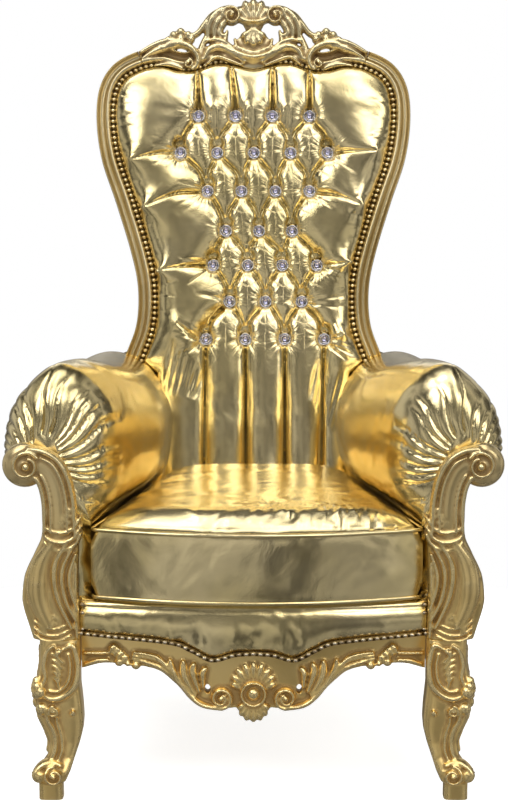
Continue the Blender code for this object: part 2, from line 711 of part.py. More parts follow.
def build_front_rail():
    """The front rail and its carved apron, pierced beside the volutes."""
    low = smooth_curve(APRON_LOW, 2)
    edge = rail_edge()
    half = edge[-1][0]
    reach = low[-1].x
    places = [p.x for p in low]
    xs = [-x for x in places[:0:-1]] + places
    bm = bmesh.new()
    rings = []
    for x in xs:
        under = between([tuple(p) for p in low], abs(x))
        over = between(edge, abs(x)) + GRAIN
        wide = x * (half + GRAIN * 2) / reach
        face = rail_face(wide) + APRON_RELIEF * 0.5
        back = rail_face(wide) + RAIL_THICKNESS
        rings.append([(wide, face, under), (wide, face, over), (wide, back, over), (wide, back, under)])
    skin(bm, rings)
    carve_apron(bm)

    upper = [(-x, z) for x, z in edge[:0:-1]] + edge
    outline = [(half, 0.10), (-half, 0.10), *upper]

    def through(u, v, out):
        return Vector((u, FRONT + out, v))

    envelope = prism("apron_limit", outline, through, -0.02, DECK_SETBACK + DECK_BOW + RAIL_THICKNESS)
    rail = carved("front_rail", bm, FINISH["gilt_wood"], APRON_FACETS, envelope)
    holes = bmesh.new()

    def pierce(side):
        ring = [2 * math.pi * k / 8 for k in range(8)]
        skin(holes, [
            [(side * 0.080 + 0.0055 * math.cos(a), y, 0.1975 + 0.009 * math.sin(a)) for a in ring]
            for y in (FRONT - 0.03, FRONT + 0.13)
        ])

    both_sides(pierce)
    boolean(rail, helper("apron_holes", holes), "DIFFERENCE")


def carve_apron(bm):
    """Shell, volutes and leaves of the apron; heights are above the floor."""

    def place(u, v, out):
        return Vector((u, rail_face(u) + APRON_RELIEF * 0.5 - out, v))

    fan(bm, place, (0, 0.194), math.pi / 2, math.radians(62), 7, 0.054, 0.0070, 0.009)
    fan(bm, place, (0, 0.184), -math.pi / 2, math.radians(50), 5, 0.045, 0.0072, 0.011)
    boss(bm, place, (0, 0.191), 0.021, 0.013)
    boss(bm, place, (0, 0.191), 0.013, 0.018)

    def side_work(side):
        volute(bm, place, (side * 0.055, 0.1835), 0.0240, -math.pi / 2, -side * 1.4, 0.014)
        strand(bm, place, sided(side, ((0.210, 0.252), (0.184, 0.249), (0.158, 0.238), (0.134, 0.217), (0.110, 0.189),
                                       (0.086, 0.170), (0.055, 0.164))),
               ((0, 0.005), (0.6, 0.007), (1, 0.006)), ((0, 0.008), (1, 0.013)), steps=1)
        strand(bm, place, sided(side, ((0.292, 0.257), (0.262, 0.258), (0.240, 0.262))),
               ((0, 0.004), (1, 0.004)), ((0, 0.008), (1, 0.009)), steps=1)
        strand(bm, place, sided(side, ((0.196, 0.260), (0.168, 0.254), (0.142, 0.233))),
               ((0, 0.004), (1, 0.006)), ((0, 0.008), (1, 0.010)), steps=1)
        strand(bm, place, sided(side, ((0.096, 0.182), (0.110, 0.212), (0.122, 0.250))),
               ((0, 0.006), (0.5, 0.008), (1, 0.005)), ((0, 0.010), (1, 0.012)))
        strand(bm, place, sided(side, ((0.092, 0.192), (0.100, 0.220), (0.104, 0.246))),
               ((0, 0.006), (0.6, 0.008), (1, 0.005)), ((0, 0.010), (1, 0.013)))
        strand(bm, place, sided(side, ((0.084, 0.214), (0.078, 0.226), (0.062, 0.230))),
               ((0, 0.004), (0.5, 0.007), (1, 0.004)), ((0, 0.009), (1, 0.011)))
        strand(bm, place, sided(side, ((0.249, 0.272), (0.233, 0.258), (0.217, 0.245))),
               ((0, 0.004), (0.5, 0.005), (1, 0.006)), ((0, 0.008), (1, 0.011)))
        boss(bm, place, (side * 0.2305, 0.2415), 0.0085, 0.012)
        boss(bm, place, (side * 0.205, 0.2355), 0.0085, 0.012)

    both_sides(side_work)


def post_place(u, v, out):
    """A point on an arm post, `out` in front of the middle of its thickness."""
    return Vector((u, FRONT + POST_SETBACK + POST_THICKNESS / 2 - out, v))


def build_posts():
    """Carved arm posts that rise from the legs and roll outwards into the arm scrolls."""
    bm = bmesh.new()
    scroll = Vector((SCROLL_FROM_MIDDLE, SCROLL_HEIGHT))
    body = [(x, LEG_TOP + rise) for x, rise in POST_RISE]
    body += [(scroll.x - near, scroll.y - below) for near, below in POST_NECK]
    deep = POST_THICKNESS / 2
    strand(bm, post_place, body, POST_WIDTHS, ((0, deep), (1, deep)), sides=8, steps=2)
    boss(bm, post_place, (scroll.x, scroll.y), SCROLL_RADIUS, deep * 1.04, sides=14)
    boss(bm, post_place, (scroll.x + 0.004, scroll.y + 0.002), SCROLL_RADIUS * 0.36, deep * 1.28)
    strand(bm, lambda u, v, out: post_place(u, v, out + deep * 0.8),
           spiral((scroll.x, scroll.y), SCROLL_RADIUS * 0.80, SCROLL_RADIUS * 0.45, math.radians(200), -1.0),
           ((0, 0.005), (1, 0.004)), ((0, 0.008), (1, 0.007)))
    collar = LEG_TOP + 0.208
    strand(bm, post_place, ((0.300, collar + 0.006), (0.326, collar - 0.012), (0.366, collar + 0.004)),
           ((0, 0.009), (0.5, 0.014), (1, 0.006)), ((0, deep * 0.9), (0.5, deep * 1.15), (1, deep * 0.8)))

    def raised(u, v, out):
        return post_place(u, v, out + deep * 0.75)

    sweep = ((0.306, 0.167), (0.328, 0.155), (0.3436, 0.126), (0.3475, 0.096), (0.338, 0.065), (0.321, 0.047))
    strand(bm, raised, [(u, LEG_TOP + v) for u, v in sweep], ((0, 0.006), (0.5, 0.008), (1, 0.005)),
           ((0, 0.008), (1, 0.009)))

    def through(u, v, out):
        return Vector((u, FRONT + out, v))

    limit = [(POST_INNER, LEG_TOP + JOINT), (0.50, LEG_TOP + JOINT), (0.50, 0.90), (0.28, 0.90),
             (0.28, DECK_TOP + CUSHION_THICKNESS), (POST_INNER, DECK_TOP + 0.02)]
    envelope = prism("post_limit", limit, through, -0.05, POST_SETBACK + POST_THICKNESS)
    right = carved("arm_post_right", bm, FINISH["gilt_wood"], POST_FACETS, envelope)
    mirrored(right, "arm_post_left")


def build_front_legs():
    """Carved cabriole front legs: a cartouche above, a narrow ankle and a scroll foot on a block."""
    bm = bmesh.new()
    rings = []
    for height, inner, outer, ahead, behind in LEG_SECTIONS:
        soft = (outer - inner) * 0.18
        near = FRONT + ahead
        far = FRONT + behind
        rings.append([
            (inner, near + soft, height), (inner + soft, near, height), (outer - soft, near, height),
            (outer, near + soft, height), (outer, far - soft, height), (outer - soft, far, height),
            (inner + soft, far, height), (inner, far - soft, height),
        ])
    skin(bm, rings)

    def face(u, v, out):
        return Vector((u, FRONT + 0.026 - out, v))

    def flank(u, v, out):
        return Vector((0.376 + out, FRONT + u, v))

    oval = [(0.340 + 0.028 * math.cos(a), 0.228 + 0.050 * math.sin(a)) for a in
            [math.radians(100 - 28 * k) for k in range(11)]]
    strand(bm, face, oval, ((0, 0.005), (0.5, 0.008), (1, 0.005)), ((0, 0.007), (1, 0.009)), steps=1)
    boss(bm, face, (0.350, 0.275), 0.011, 0.012)
    boss(bm, face, (0.347, 0.155), 0.012, 0.010)
    boss(bm, face, (0.344, 0.226), 0.016, 0.009)
    boss(bm, flank, (0.052, 0.192), 0.018, 0.013)
    boss(bm, flank, (0.055, 0.157), 0.014, 0.008)
    boss(bm, face, (0.347, 0.050), 0.017, 0.020)
    boss(bm, face, (0.347, 0.050), 0.010, 0.026)
    boss(bm, flank, (0.040, 0.050), 0.018, 0.014)

    def through(u, v, out):
        return Vector((u, FRONT + out, v))

    limit = [(LEG_INNER, LEG_TOP), (LEG_INNER, KNEE_TOP), (KNEE_REACH, KNEE_TOP - 0.020), (KNEE_REACH, 0.0),
             (ARM_HALF_WIDTH, 0.0), (ARM_HALF_WIDTH, LEG_TOP)]
    envelope = prism("leg_limit", limit, through, -0.05, 0.20)
    right = carved("front_leg_right", bm, FINISH["gilt_wood"], LEG_FACETS, envelope)
    mirrored(right, "front_leg_left")


def rear_leg_middle():
    """Distance along Y of the top of the rear legs."""
    return back_plane(LEG_TOP)


def build_rear_legs():
    """Sabre legs with a swelling knee, swept back and out."""
    bm = bmesh.new()
    rings = []
    for share, swell in ((0.0, 1.0), (0.14, 1.04), (0.30, 1.10), (0.48, 0.96), (0.66, 0.84), (0.84, 0.78), (1.0, 0.84)):
        height = LEG_TOP * (1 - share)
        half = (REAR_LEG_THICKNESS + (REAR_FOOT_THICKNESS - REAR_LEG_THICKNESS) * share) / 2 * swell
        x = REAR_LEG_FROM_MIDDLE + REAR_LEG_SPLAY * share**1.3
        y = rear_leg_middle() + REAR_LEG_SWEEP * share**1.6
        rings.append([
            (x - half, y - half, height), (x + half, y - half, height), (x + half, y + half, height),
            (x - half, y + half, height),
        ])
    skin(bm, rings)
    right = piece("rear_leg_right", bm, FINISH["gilt_wood"])
    bevel = right.modifiers.new("soft_edges", "BEVEL")
    bevel.width = 0.005
    bevel.segments = 1
    bevel.limit_method = "ANGLE"
    bevel.angle_limit = math.radians(50)
    mirrored(right, "rear_leg_left")


def bar(name, plan, low, high, finish):
    """A straight rail from its plan outline, with softened edges."""
    bm = bmesh.new()
    skin(bm, [[(x, y, z) for x, y in plan] for z in (low, high)])
    made = piece(name, bm, finish)
    bevel = made.modifiers.new("soft_edges", "BEVEL")
    bevel.width = 0.003
    bevel.segments = 1
    return made


def build_rails():
    """Side rails between the legs, and the rear rail."""
    leg_back = FRONT + 0.0985
    rear_front = rear_leg_middle() - REAR_LEG_THICKNESS * 0.55 - JOINT * 2
    start = POST_INNER + 0.046
    end = REAR_LEG_FROM_MIDDLE + REAR_LEG_THICKNESS * 0.4
    plan = [
        (start - SIDE_RAIL_THICKNESS, leg_back + 0.002), (start, leg_back + 0.002), (end, rear_front),
        (end - SIDE_RAIL_THICKNESS, rear_front),
    ]
    right = bar("side_rail_right", plan, SIDE_RAIL_BOTTOM, FRAME_TOP, FINISH["gilt_wood"])
    mirrored(right, "side_rail_left")
    side = REAR_LEG_FROM_MIDDLE - REAR_LEG_THICKNESS * 0.55 - JOINT * 2
    y = rear_leg_middle()
    half = SIDE_RAIL_THICKNESS / 2
    plan = [(-side, y - half), (side, y - half), (side, y + half), (-side, y + half)]
    bar("rear_rail", plan, SIDE_RAIL_BOTTOM, FRAME_TOP, FINISH["gilt_wood"])


for old in list(bpy.data.objects):
    bpy.data.objects.remove(old)

FINISH = {
    "gilt_wood": material("gilt_wood", (0.72, 0.50, 0.17), 0.34, 0.9),
    "gold_leather": material("gold_leather", (0.80, 0.66, 0.32), 0.22, 0.9),
    "crystal": material("crystal", (0.95, 0.94, 0.98), 0.05, 0.0, transmission=1.0),
}

build_front_legs()
build_posts()
build_front_rail()
build_rails()
build_rear_legs()
build_back_frame()
build_back_pad()
build_buttons()
build_outer_back()
build_arms()
build_deck()
build_cushion()
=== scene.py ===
"""Looks of a carved, gilded throne with a tufted back, gathered arms and a loose seat cushion.

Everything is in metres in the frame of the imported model: the front faces -Y and +Z is up.
"""

import math

import bmesh
import bpy
import numpy as np
from mathutils import Matrix, Vector


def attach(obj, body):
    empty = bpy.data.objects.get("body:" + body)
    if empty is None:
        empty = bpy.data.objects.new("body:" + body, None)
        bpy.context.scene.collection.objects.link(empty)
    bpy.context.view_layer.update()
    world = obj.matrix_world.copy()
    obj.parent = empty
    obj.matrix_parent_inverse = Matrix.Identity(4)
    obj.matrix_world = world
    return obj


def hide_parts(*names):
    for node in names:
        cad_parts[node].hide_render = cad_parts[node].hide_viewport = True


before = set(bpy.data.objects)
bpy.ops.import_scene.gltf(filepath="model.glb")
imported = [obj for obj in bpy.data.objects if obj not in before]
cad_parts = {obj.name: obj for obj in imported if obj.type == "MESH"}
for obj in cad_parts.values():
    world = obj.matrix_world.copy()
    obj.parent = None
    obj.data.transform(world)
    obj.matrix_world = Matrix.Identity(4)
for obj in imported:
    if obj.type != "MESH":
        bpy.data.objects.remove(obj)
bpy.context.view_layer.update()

# Driving sizes, the same as those of the solids.
FRONT = -0.400
JOINT = 0.0004
LEG_TOP = 0.285
FRAME_TOP = 0.290
DECK_BASE = 0.300
DECK_TOP = 0.352
CUSHION_THICKNESS = 0.128
CUSHION_CROWN = 0.016
CUSHION_RISE = 0.010
SEAT_LEVEL = DECK_TOP + CUSHION_THICKNESS
SCROLL_HEIGHT = 0.592
ARM_TOP = 0.755
HIP_HEIGHT = 0.700
BACK_RISE = 0.606
CREST_RISE = 0.094
FRAME_FACE = 0.037
FRAME_BEHIND = 0.024
BACK_AT = FRONT + 0.610
BACK_LEVEL = 0.470
LEAN = math.radians(11.2)
FRAME_HALF_WIDTH = 0.311
FRAME_OUTLINE = (
    (0.815, 0.000), (0.747, 0.100), (0.738, 0.215), (0.783, 0.330), (0.880, 0.490), (0.972, 0.630),
    (1.006, 0.760), (0.985, 0.865), (0.897, 0.938), (0.740, 0.981), (0.580, 0.993), (0.430, 0.978),
    (0.270, 1.000), (0.130, 1.000), (0.000, 0.984),
)
STILE_SPANS = 9
SPAN_STEPS = 10
PAD_THICKNESS = 0.046
PAD_BEHIND = 0.014
PAD_FOOT = 0.360
PAD_FOOT_HALF_WIDTH = 0.192
PAD_NECK = 0.024
OUTER_BACK_THICKNESS = 0.014
BUTTON_RADIUS = 0.0115
WELL_FLOOR = 0.018
BUTTON_ROWS = (
    (4, 0.0735, 0.001, 1.166), (5, 0.0730, 0.001, 1.094), (4, 0.0675, 0.010, 1.019), (3, 0.0655, 0.011, 0.941),
    (4, 0.0685, 0.023, 0.874), (3, 0.0715, 0.024, 0.803), (4, 0.0780, 0.023, 0.730),
)
ARM_HALF_WIDTH = 0.440
REAR_ROLL_HALF_WIDTH = 0.405
REAR_PANEL_HALF_WIDTH = 0.360
ARM_REAR_TOP = HIP_HEIGHT + 0.006
CUSHION_FRONT_HALF_WIDTH = 0.285
CUSHION_BACK_HALF_WIDTH = 0.170
CUSHION_SHIFT = 0.010
CUSHION_BOW = 0.055
CUSHION_EDGE = 0.012
SEAT_CLEARANCE = 0.004
DECK_SETBACK = 0.026
DECK_BOW = 0.030
RAIL_THICKNESS = 0.036
APRON_RELIEF = 0.012
APRON_GAP = 0.0006
APRON_TOP = ((0.000, 0.261), (0.033, 0.2585), (0.072, 0.249), (0.108, 0.266), (0.150, 0.2795), (0.300, 0.290))
APRON_LOW = (
    (0.000, 0.168), (0.045, 0.163), (0.078, 0.163), (0.108, 0.180), (0.138, 0.210), (0.172, 0.232),
    (0.250, 0.239), (0.300, 0.226),
)
POST_SETBACK = 0.025
POST_THICKNESS = 0.052
POST_INNER = 0.3025
LEG_INNER = 0.3015
SCROLL_FROM_MIDDLE = 0.394
SCROLL_RADIUS = 0.040

# The arm post: how far out its middle is and how high above the leg, then how far in from and how
# far below the eye of the scroll; and its half width along that path.
POST_RISE = ((0.340, -0.008), (0.3475, 0.035), (0.3525, 0.070), (0.350, 0.105), (0.342, 0.139), (0.335, 0.172))
POST_NECK = ((0.060, 0.100), (0.059, 0.062), (0.051, 0.025), (0.034, 0.000), (0.000, -0.009))
POST_WIDTHS = (
    (0.0, 0.040), (0.1, 0.0455), (0.2, 0.050), (0.3, 0.048), (0.4, 0.0405), (0.5, 0.0335), (0.6, 0.030),
    (0.7, 0.0295), (0.8, 0.029), (1.0, 0.028),
)
FOOT_BLOCK = 0.042
FOOT_HEIGHT = 0.034

# Fineness of the carving: the grain that the strokes are fused to, and how much they are eased.
GRAIN = 0.0018
TENTHS = 10000  # tenths of a millimetre to the metre
EASING_STEPS = 6

# Trim.
STUD_RADIUS = 0.0053
STUD_HEIGHT = 0.0036
STUD_PITCH = 0.0124
BEAD_RADIUS = 0.0047
BEAD_PITCH = 0.0109
WELT_RADIUS = 0.0034
NAILS_AHEAD = 0.0078
NAILS_ABOVE = 0.0040
POST_NAILS_AT = 0.2985

rng = np.random.default_rng(7)


# Shader maths.


class Sum:
    """A shader value; the usual operators on it add Math nodes."""

    def __init__(self, paint, socket):
        self.paint = paint
        self.socket = socket

    def using(self, operation, other, swapped=False):
        terms = (other, self) if swapped else (self, other)
        return self.paint.maths(operation, *terms)

    def __add__(self, other):
        return self.using("ADD", other)

    __radd__ = __add__

    def __mul__(self, other):
        return self.using("MULTIPLY", other)

    def __sub__(self, other):
        return self.using("SUBTRACT", other)

    def __rsub__(self, other):
        return self.using("SUBTRACT", other, swapped=True)


class Nodes:
    """A shader's node tree, and the few calls that it is mixed from."""

    def __init__(self, tree):
        self.tree = tree

    def node(self, kind, settings=None, **values):
        made = self.tree.nodes.new("ShaderNode" + kind)
        for key, value in (settings or {}).items():
            setattr(made, key, value)
        for key, value in values.items():
            self.put(value, made.inputs[int(key[1:]) if key[1:].isdigit() else key.replace("_", " ")])
        return made

    def put(self, value, socket):
        if isinstance(value, Sum):
            value = value.socket
        if isinstance(value, bpy.types.NodeSocket):
            self.tree.links.new(value, socket)
        else:
            socket.default_value = value

    def maths(self, operation, a, b):
        return Sum(self, self.node("Math", {"operation": operation}, _0=a, _1=b).outputs[0])

    def place(self):
        return self.node("TexCoord").outputs["Object"]

    def noise(self, scale, detail=3.0, roughness=0.55, distortion=0.0, vector=None):
        made = self.node("TexNoise", Vector=vector or self.place(), Scale=scale, Detail=detail,
                         Roughness=roughness, Distortion=distortion)
        return Sum(self, made.outputs["Fac"])

    def attribute(self, name):
        return Sum(self, self.node("Attribute", {"attribute_name": name}).outputs["Fac"])

    def between(self, value, low, high):
        """0 below low, 1 above high, and a smooth rise between."""
        made = self.node("MapRange", {"interpolation_type": "SMOOTHSTEP"}, Value=value, From_Min=low, From_Max=high)
        return Sum(self, made.outputs[0])

    def blend(self, share, first, second):
        first, second = ((*c, 1.0) if isinstance(c, tuple) else c for c in (first, second))
        return self.node("Mix", {"data_type": "RGBA"}, _0=share, _6=first, _7=second).outputs[2]

    def bump(self, height, distance, strength=1.0, under=None):
        made = self.node("Bump", Height=height, Distance=distance, Strength=strength)
        if under:
            self.put(under, made.inputs["Normal"])
        return made.outputs["Normal"]


class Paint(Nodes):
    """One material."""

    def __init__(self, name, roughness, metallic):
        self.material = bpy.data.materials.new(name)
        self.material.use_nodes = True
        super().__init__(self.material.node_tree)
        self.shader = self.tree.nodes["Principled BSDF"]
        self.shader.inputs["Roughness"].default_value = roughness
        self.shader.inputs["Metallic"].default_value = metallic

    def finish(self, **inputs):
        for key, value in inputs.items():
            self.put(value, self.shader.inputs[key.replace("_", " ")])
        return self.material


def gilt_paint():
    """Satin gold leaf on carved wood, redder low down; painted brown shade in hollows, painted highlight on edges."""
    p = Paint("gilt_carving", 0.34, 0.92)
    cavity = p.attribute("cavity")
    height = Sum(p, p.node("SeparateXYZ", Vector=p.place()).outputs["Z"])
    patches = p.noise(7.0, 4.0)
    fine = p.noise(150.0, 3.0)
    # Painted shade: recesses turn dark brown, less metallic and rougher, by their cavity depth.
    deep = p.between(cavity, 0.04, 0.50)
    # Painted highlight: raised edges and ridges turn a paler, brighter gold, and a little smoother.
    ridge_highlight = p.between(cavity * -1.0 + patches * 0.25, 0.15, 0.80)
    warm = p.blend(p.between(patches, 0.35, 0.7), (0.95, 0.70, 0.29), (0.87, 0.62, 0.23))
    pale = p.blend(p.between(patches, 0.35, 0.7), (0.755, 0.63, 0.375), (0.64, 0.52, 0.285))
    base = p.blend(p.between(height, 0.20, 0.95), warm, pale)
    # Painted highlight on the raised edges.
    base = p.blend(ridge_highlight * 0.55, base, (0.90, 0.75, 0.42))
    # Painted shade in the recesses.
    base = p.blend(deep * 0.80, base, (0.23, 0.125, 0.035))
    rough = 0.25 + fine * 0.10 + deep * 0.26 - ridge_highlight * 0.05
    normal = p.bump(fine, 0.0005, 0.14)
    normal = p.bump(patches, 0.004, 0.25, normal)
    return p.finish(Base_Color=base, Roughness=rough, Metallic=0.95 - deep * 0.40, Normal=normal)


def leather_paint():
    """Gold foil leathercloth on a soft cloth, with pores, creases and slight unevenness; painted shade in its folds.
    """
    p = Paint("gold_leathercloth", 0.2, 1.0)
    crease = p.attribute("cavity")
    drawn = p.attribute("drawn")
    around = p.node("Attribute", {"attribute_name": "around"}).outputs["Vector"]
    cloud = p.noise(5.0, 3.0)
    grain = Sum(p, p.node("TexVoronoi", {"feature": "F1"}, Vector=p.place(), Scale=520.0).outputs["Distance"])
    slack = p.noise(16.0, 3.0, 0.5, 0.6)
    crinkle = p.noise(60.0, 4.0, 0.6, 1.2)
    rays = p.noise(2.6, 3.0, 0.6, 0.3, around)
    base = p.blend(p.between(cloud, 0.35, 0.68), (0.86, 0.715, 0.40), (0.79, 0.645, 0.32))
    # Painted shade: creases and folds darken to olive and then to deep brown, by their cavity depth.
    base = p.blend(p.between(crease, 0.10, 0.55) * 0.50, base, (0.52, 0.40, 0.14))
    base = p.blend(p.between(crease, 0.36, 0.85) * 0.85, base, (0.22, 0.13, 0.022))
    rough = 0.13 + cloud * 0.06 + crinkle * 0.08
    normal = p.bump(grain, 0.00025, 0.25)
    normal = p.bump(p.noise(7.0, 2.0, 0.5, 0.8), 0.0200, 0.30, normal)
    normal = p.bump(slack, 0.0050, 0.16, normal)
    normal = p.bump(crinkle, 0.0010, 0.14, normal)
    normal = p.bump(rays * drawn, 0.0060, 0.75, normal)
    return p.finish(Base_Color=base, Roughness=rough, Normal=normal)


def stud_paint(name, light, dark):
    """Plated metal in two tones mixed in random patches: nailheads, beads, and the near-black painted shade strips.
    """
    p = Paint(name, 0.25, 1.0)
    tarnish = p.noise(70.0, 2.0)
    base = p.blend(p.between(tarnish, 0.4, 0.7), light, dark)
    return p.finish(Base_Color=base, Roughness=0.18 + tarnish * 0.2)


def crystal_paint():
    """Clear cut crystal."""
    p = Paint("cut_crystal", 0.02, 0.0)
    p.shader.inputs["Base Color"].default_value = (0.93, 0.91, 1.0, 1.0)
    p.shader.inputs["Transmission Weight"].default_value = 1.0
    p.shader.inputs["IOR"].default_value = 1.6
    return p.material


def rim_paint():
    """Polished silver cups that hold the crystals."""
    p = Paint("silver_cup", 0.12, 1.0)
    film = p.noise(120.0, 2.0)
    return p.finish(Base_Color=p.blend(film, (0.90, 0.91, 0.99), (0.74, 0.76, 0.88)), Roughness=0.10 + film * 0.12)


def floor_paint():
    p = Paint("pale_floor", 0.6, 0.0)
    p.shader.inputs["Specular IOR Level"].default_value = 0.2
    p.shader.inputs["Base Color"].default_value = (0.95, 0.95, 0.95, 1.0)
    p.shader.inputs["Emission Color"].default_value = (1.0, 1.0, 1.0, 1.0)
    p.shader.inputs["Emission Strength"].default_value = 0.74
    return p.material


FINISH = {
    "gilt": gilt_paint(),
    "leather": leather_paint(),
    "studs": stud_paint("antique_nailheads", (0.66, 0.57, 0.42), (0.32, 0.24, 0.15)),
    "beads": stud_paint("gold_beads", (0.95, 0.82, 0.52), (0.62, 0.46, 0.21)),
    # Painted shade: a near-black finish for the strips that stand for the shade behind the nails and beads.
    "shadow_strip": stud_paint("painted_shadow_strip", (0.13, 0.09, 0.035), (0.08, 0.05, 0.02)),
    "crystal": crystal_paint(),
    "cup": rim_paint(),
    "floor": floor_paint(),
}


# Curves, skins and pieces.


def smooth_curve(points, steps):
    """A curve through the points, with so many steps between one and the next."""
    through = [Vector(p) for p in points]
    run = [2 * through[0] - through[1], *through, 2 * through[-1] - through[-2]]
    curve = []
    for before, start, end, after in zip(run, run[1:], run[2:], run[3:]):
        for step in range(steps):
            t = step / steps
            bend = 2 * before - 5 * start + 4 * end - after
            twist = 3 * start - before - 3 * end + after
            curve.append(0.5 * (2 * start + (end - before) * t + bend * t * t + twist * t**3))
    return [*curve, through[-1]]


def between(table, value):
    """Reads a table of (place, size) pairs at any place, in a straight line between its rows."""
    for (a, low), (b, high) in zip(table, table[1:]):
        if value <= b:
            return low + (high - low) * max(0.0, (value - a) / (b - a))
    return table[-1][1]


def even(*sizes):
    """A table of two or more sizes at even steps from 0 to 1."""
    return [(i / (len(sizes) - 1), size) for i, size in enumerate(sizes)]


def rise(x):
    """A smooth step from 0 to 1."""
    x = np.clip(x, 0.0, 1.0)
    return x * x * (3 - 2 * x)


def turns(sides):
    """The angles of a ring with so many sides."""
    return [2 * math.pi * k / sides for k in range(sides)]


def heading(curve, i):
    """Which way a curve runs at one of its points."""
    return curve[min(i + 1, len(curve) - 1)] - curve[max(i - 1, 0)]


def across(along):
    """The direction to the left of a direction in the plane."""
    return Vector((-along.y, along.x))


def power(value, exponent):
    """A power that keeps the sign, for rings between a circle and a square."""
    return math.copysign(abs(value) ** exponent, value)


def skin(bm, rings, caps=None):
    """Closes a skin over rings of points. Each end has one face, or one for each group of places in caps."""
    rows = [[bm.verts.new(p) for p in ring] for ring in rings]
    count = len(rings[0])
    for low, high in zip(rows, rows[1:]):
        for i in range(count):
            j = (i + 1) % count
            bm.faces.new((low[i], low[j], high[j], high[i]))
    for group in caps or [range(count)]:
        bm.faces.new([rows[0][i] for i in group][::-1])
        bm.faces.new([rows[-1][i] for i in group])


def object_of(name, mesh, finish):
    mesh.materials.clear()
    mesh.materials.append(finish)
    mesh.shade_smooth()
    made = bpy.data.objects.new(name, mesh)
    bpy.context.scene.collection.objects.link(made)
    return made


def from_bmesh(name, bm, finish):
    bmesh.ops.recalc_face_normals(bm, faces=bm.faces)
    mesh = bpy.data.meshes.new(name)
    bm.to_mesh(mesh)
    bm.free()
    return object_of(name, mesh, finish)


def settle(made):
    """Turns the modifiers of an object into a plain mesh."""
    bpy.context.view_layer.update()
    graph = bpy.context.evaluated_depsgraph_get()
    mesh = bpy.data.meshes.new_from_object(made.evaluated_get(graph))
    made.modifiers.clear()
    old = made.data
    made.data = mesh
    mesh.name = old.name
    bpy.data.meshes.remove(old)


def mark_cavities(made, rounds=4, scale=1.0):
    """Stores how deep each point lies between its neighbours, from -1 on an edge to 1 in a groove."""
    mesh = made.data
    count = len(mesh.vertices)
    places = np.empty(count * 3, np.float32)
    mesh.vertices.foreach_get("co", places)
    places = places.reshape(-1, 3).astype(float)
    normals = np.empty(count * 3, np.float32)
    mesh.vertices.foreach_get("normal", normals)
    normals = normals.reshape(-1, 3).astype(float)
    edges = np.empty(len(mesh.edges) * 2, np.int32)
    mesh.edges.foreach_get("vertices", edges)
    a, b = edges.reshape(-1, 2).T
    degree = np.bincount(a, minlength=count) + np.bincount(b, minlength=count)

    def spread(values):
        total = np.zeros_like(values)
        for axis in range(values.shape[1]):
            total[:, axis] = (np.bincount(a, values[b, axis], count) + np.bincount(b, values[a, axis], count))
        return total / np.maximum(degree, 1)[:, None]

    eased = places
    for _ in range(rounds):
        eased = spread(eased)
    span = np.linalg.norm(places[a] - places[b], axis=1).mean()
    depth = ((eased - places) * normals).sum(axis=1, keepdims=True) / span * scale
    depth = spread(spread(depth))
    layer = mesh.attributes.new("cavity", "FLOAT", "POINT")
    layer.data.foreach_set("value", np.clip(depth[:, 0], -1, 1).astype(np.float32))


def mirrored(made, name):
    """The same piece for the other side of the throne."""
    mesh = made.data.copy()
    mesh.transform(Matrix.Diagonal((-1, 1, 1, 1)))
    mesh.flip_normals()
    other = bpy.data.objects.new(name, mesh)
    bpy.context.scene.collection.objects.link(other)
    return other


def rides(made, slot, *nodes):
    """Says what the piece rides on and which solids it stands for; the slot is not used."""
    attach(made, "root")
    if nodes:
        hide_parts(*nodes)


def pair(right, name, node):
    """Adds the left piece to a right one, and says which solid each stands for."""
    left = mirrored(right, name + "_left")
    rides(right, "gilt_wood", node + "_right")
    rides(left, "gilt_wood", node + "_left")


def upholstery(made, node, rounds, scale):
    """Marks the folds of a leathercloth piece, sets it to ride on the root and hides its solid."""
    mark_cavities(made, rounds, scale)
    rides(made, "gold_leather", node)


# Carver's strokes, as in the solids but finer.


def strand(bm, place, path, widths, heights, sides=12, steps=8):
    """A tapered strand of oval section that follows a path, the stroke that carving is made of."""
    curve = smooth_curve(path, steps)
    rings = []
    for i, point in enumerate(curve):
        share = i / (len(curve) - 1)
        out = across(heading(curve, i)).normalized()
        wide, high = between(widths, share), between(heights, share)
        rings.append([place(point.x + out.x * wide * math.cos(a), point.y + out.y * wide * math.cos(a),
                            high * math.sin(a))
                      for a in turns(sides)])
    skin(bm, rings)


def spiral(centre, start_radius, end_radius, start_turn, rounds, points=14):
    """The path of a volute, from its outside in."""
    path = []
    for i in range(points):
        share = i / (points - 1)
        radius = start_radius + (end_radius - start_radius) * share
        angle = start_turn + 2 * math.pi * rounds * share
        path.append((centre[0] + radius * math.cos(angle), centre[1] + radius * math.sin(angle)))
    return path


def boss(bm, place, centre, radius, height, sides=24):
    """A low round dome."""
    rings = []
    for level in (-1.0, -0.85, -0.6, -0.3, 0.0, 0.3, 0.6, 0.85, 0.97):
        shrink = math.sqrt(max(0.03, 1 - level * level))
        rings.append([place(centre[0] + radius * shrink * math.cos(a), centre[1] + radius * shrink * math.sin(a),
                            height * level) for a in turns(sides)])
    skin(bm, rings)


def volute(bm, place, centre, radius, start_turn, rounds, height):
    """A rolled scroll: a rim that winds in over a sunk bed to a round eye."""
    strand(bm, place, spiral(centre, radius * 0.80, radius * 0.30, start_turn, rounds),
           even(radius * 0.20, radius * 0.11), even(height, height * 1.05))
    boss(bm, place, centre, radius * 0.27, height * 1.25)
    boss(bm, place, centre, radius * 0.80, height * 0.50)


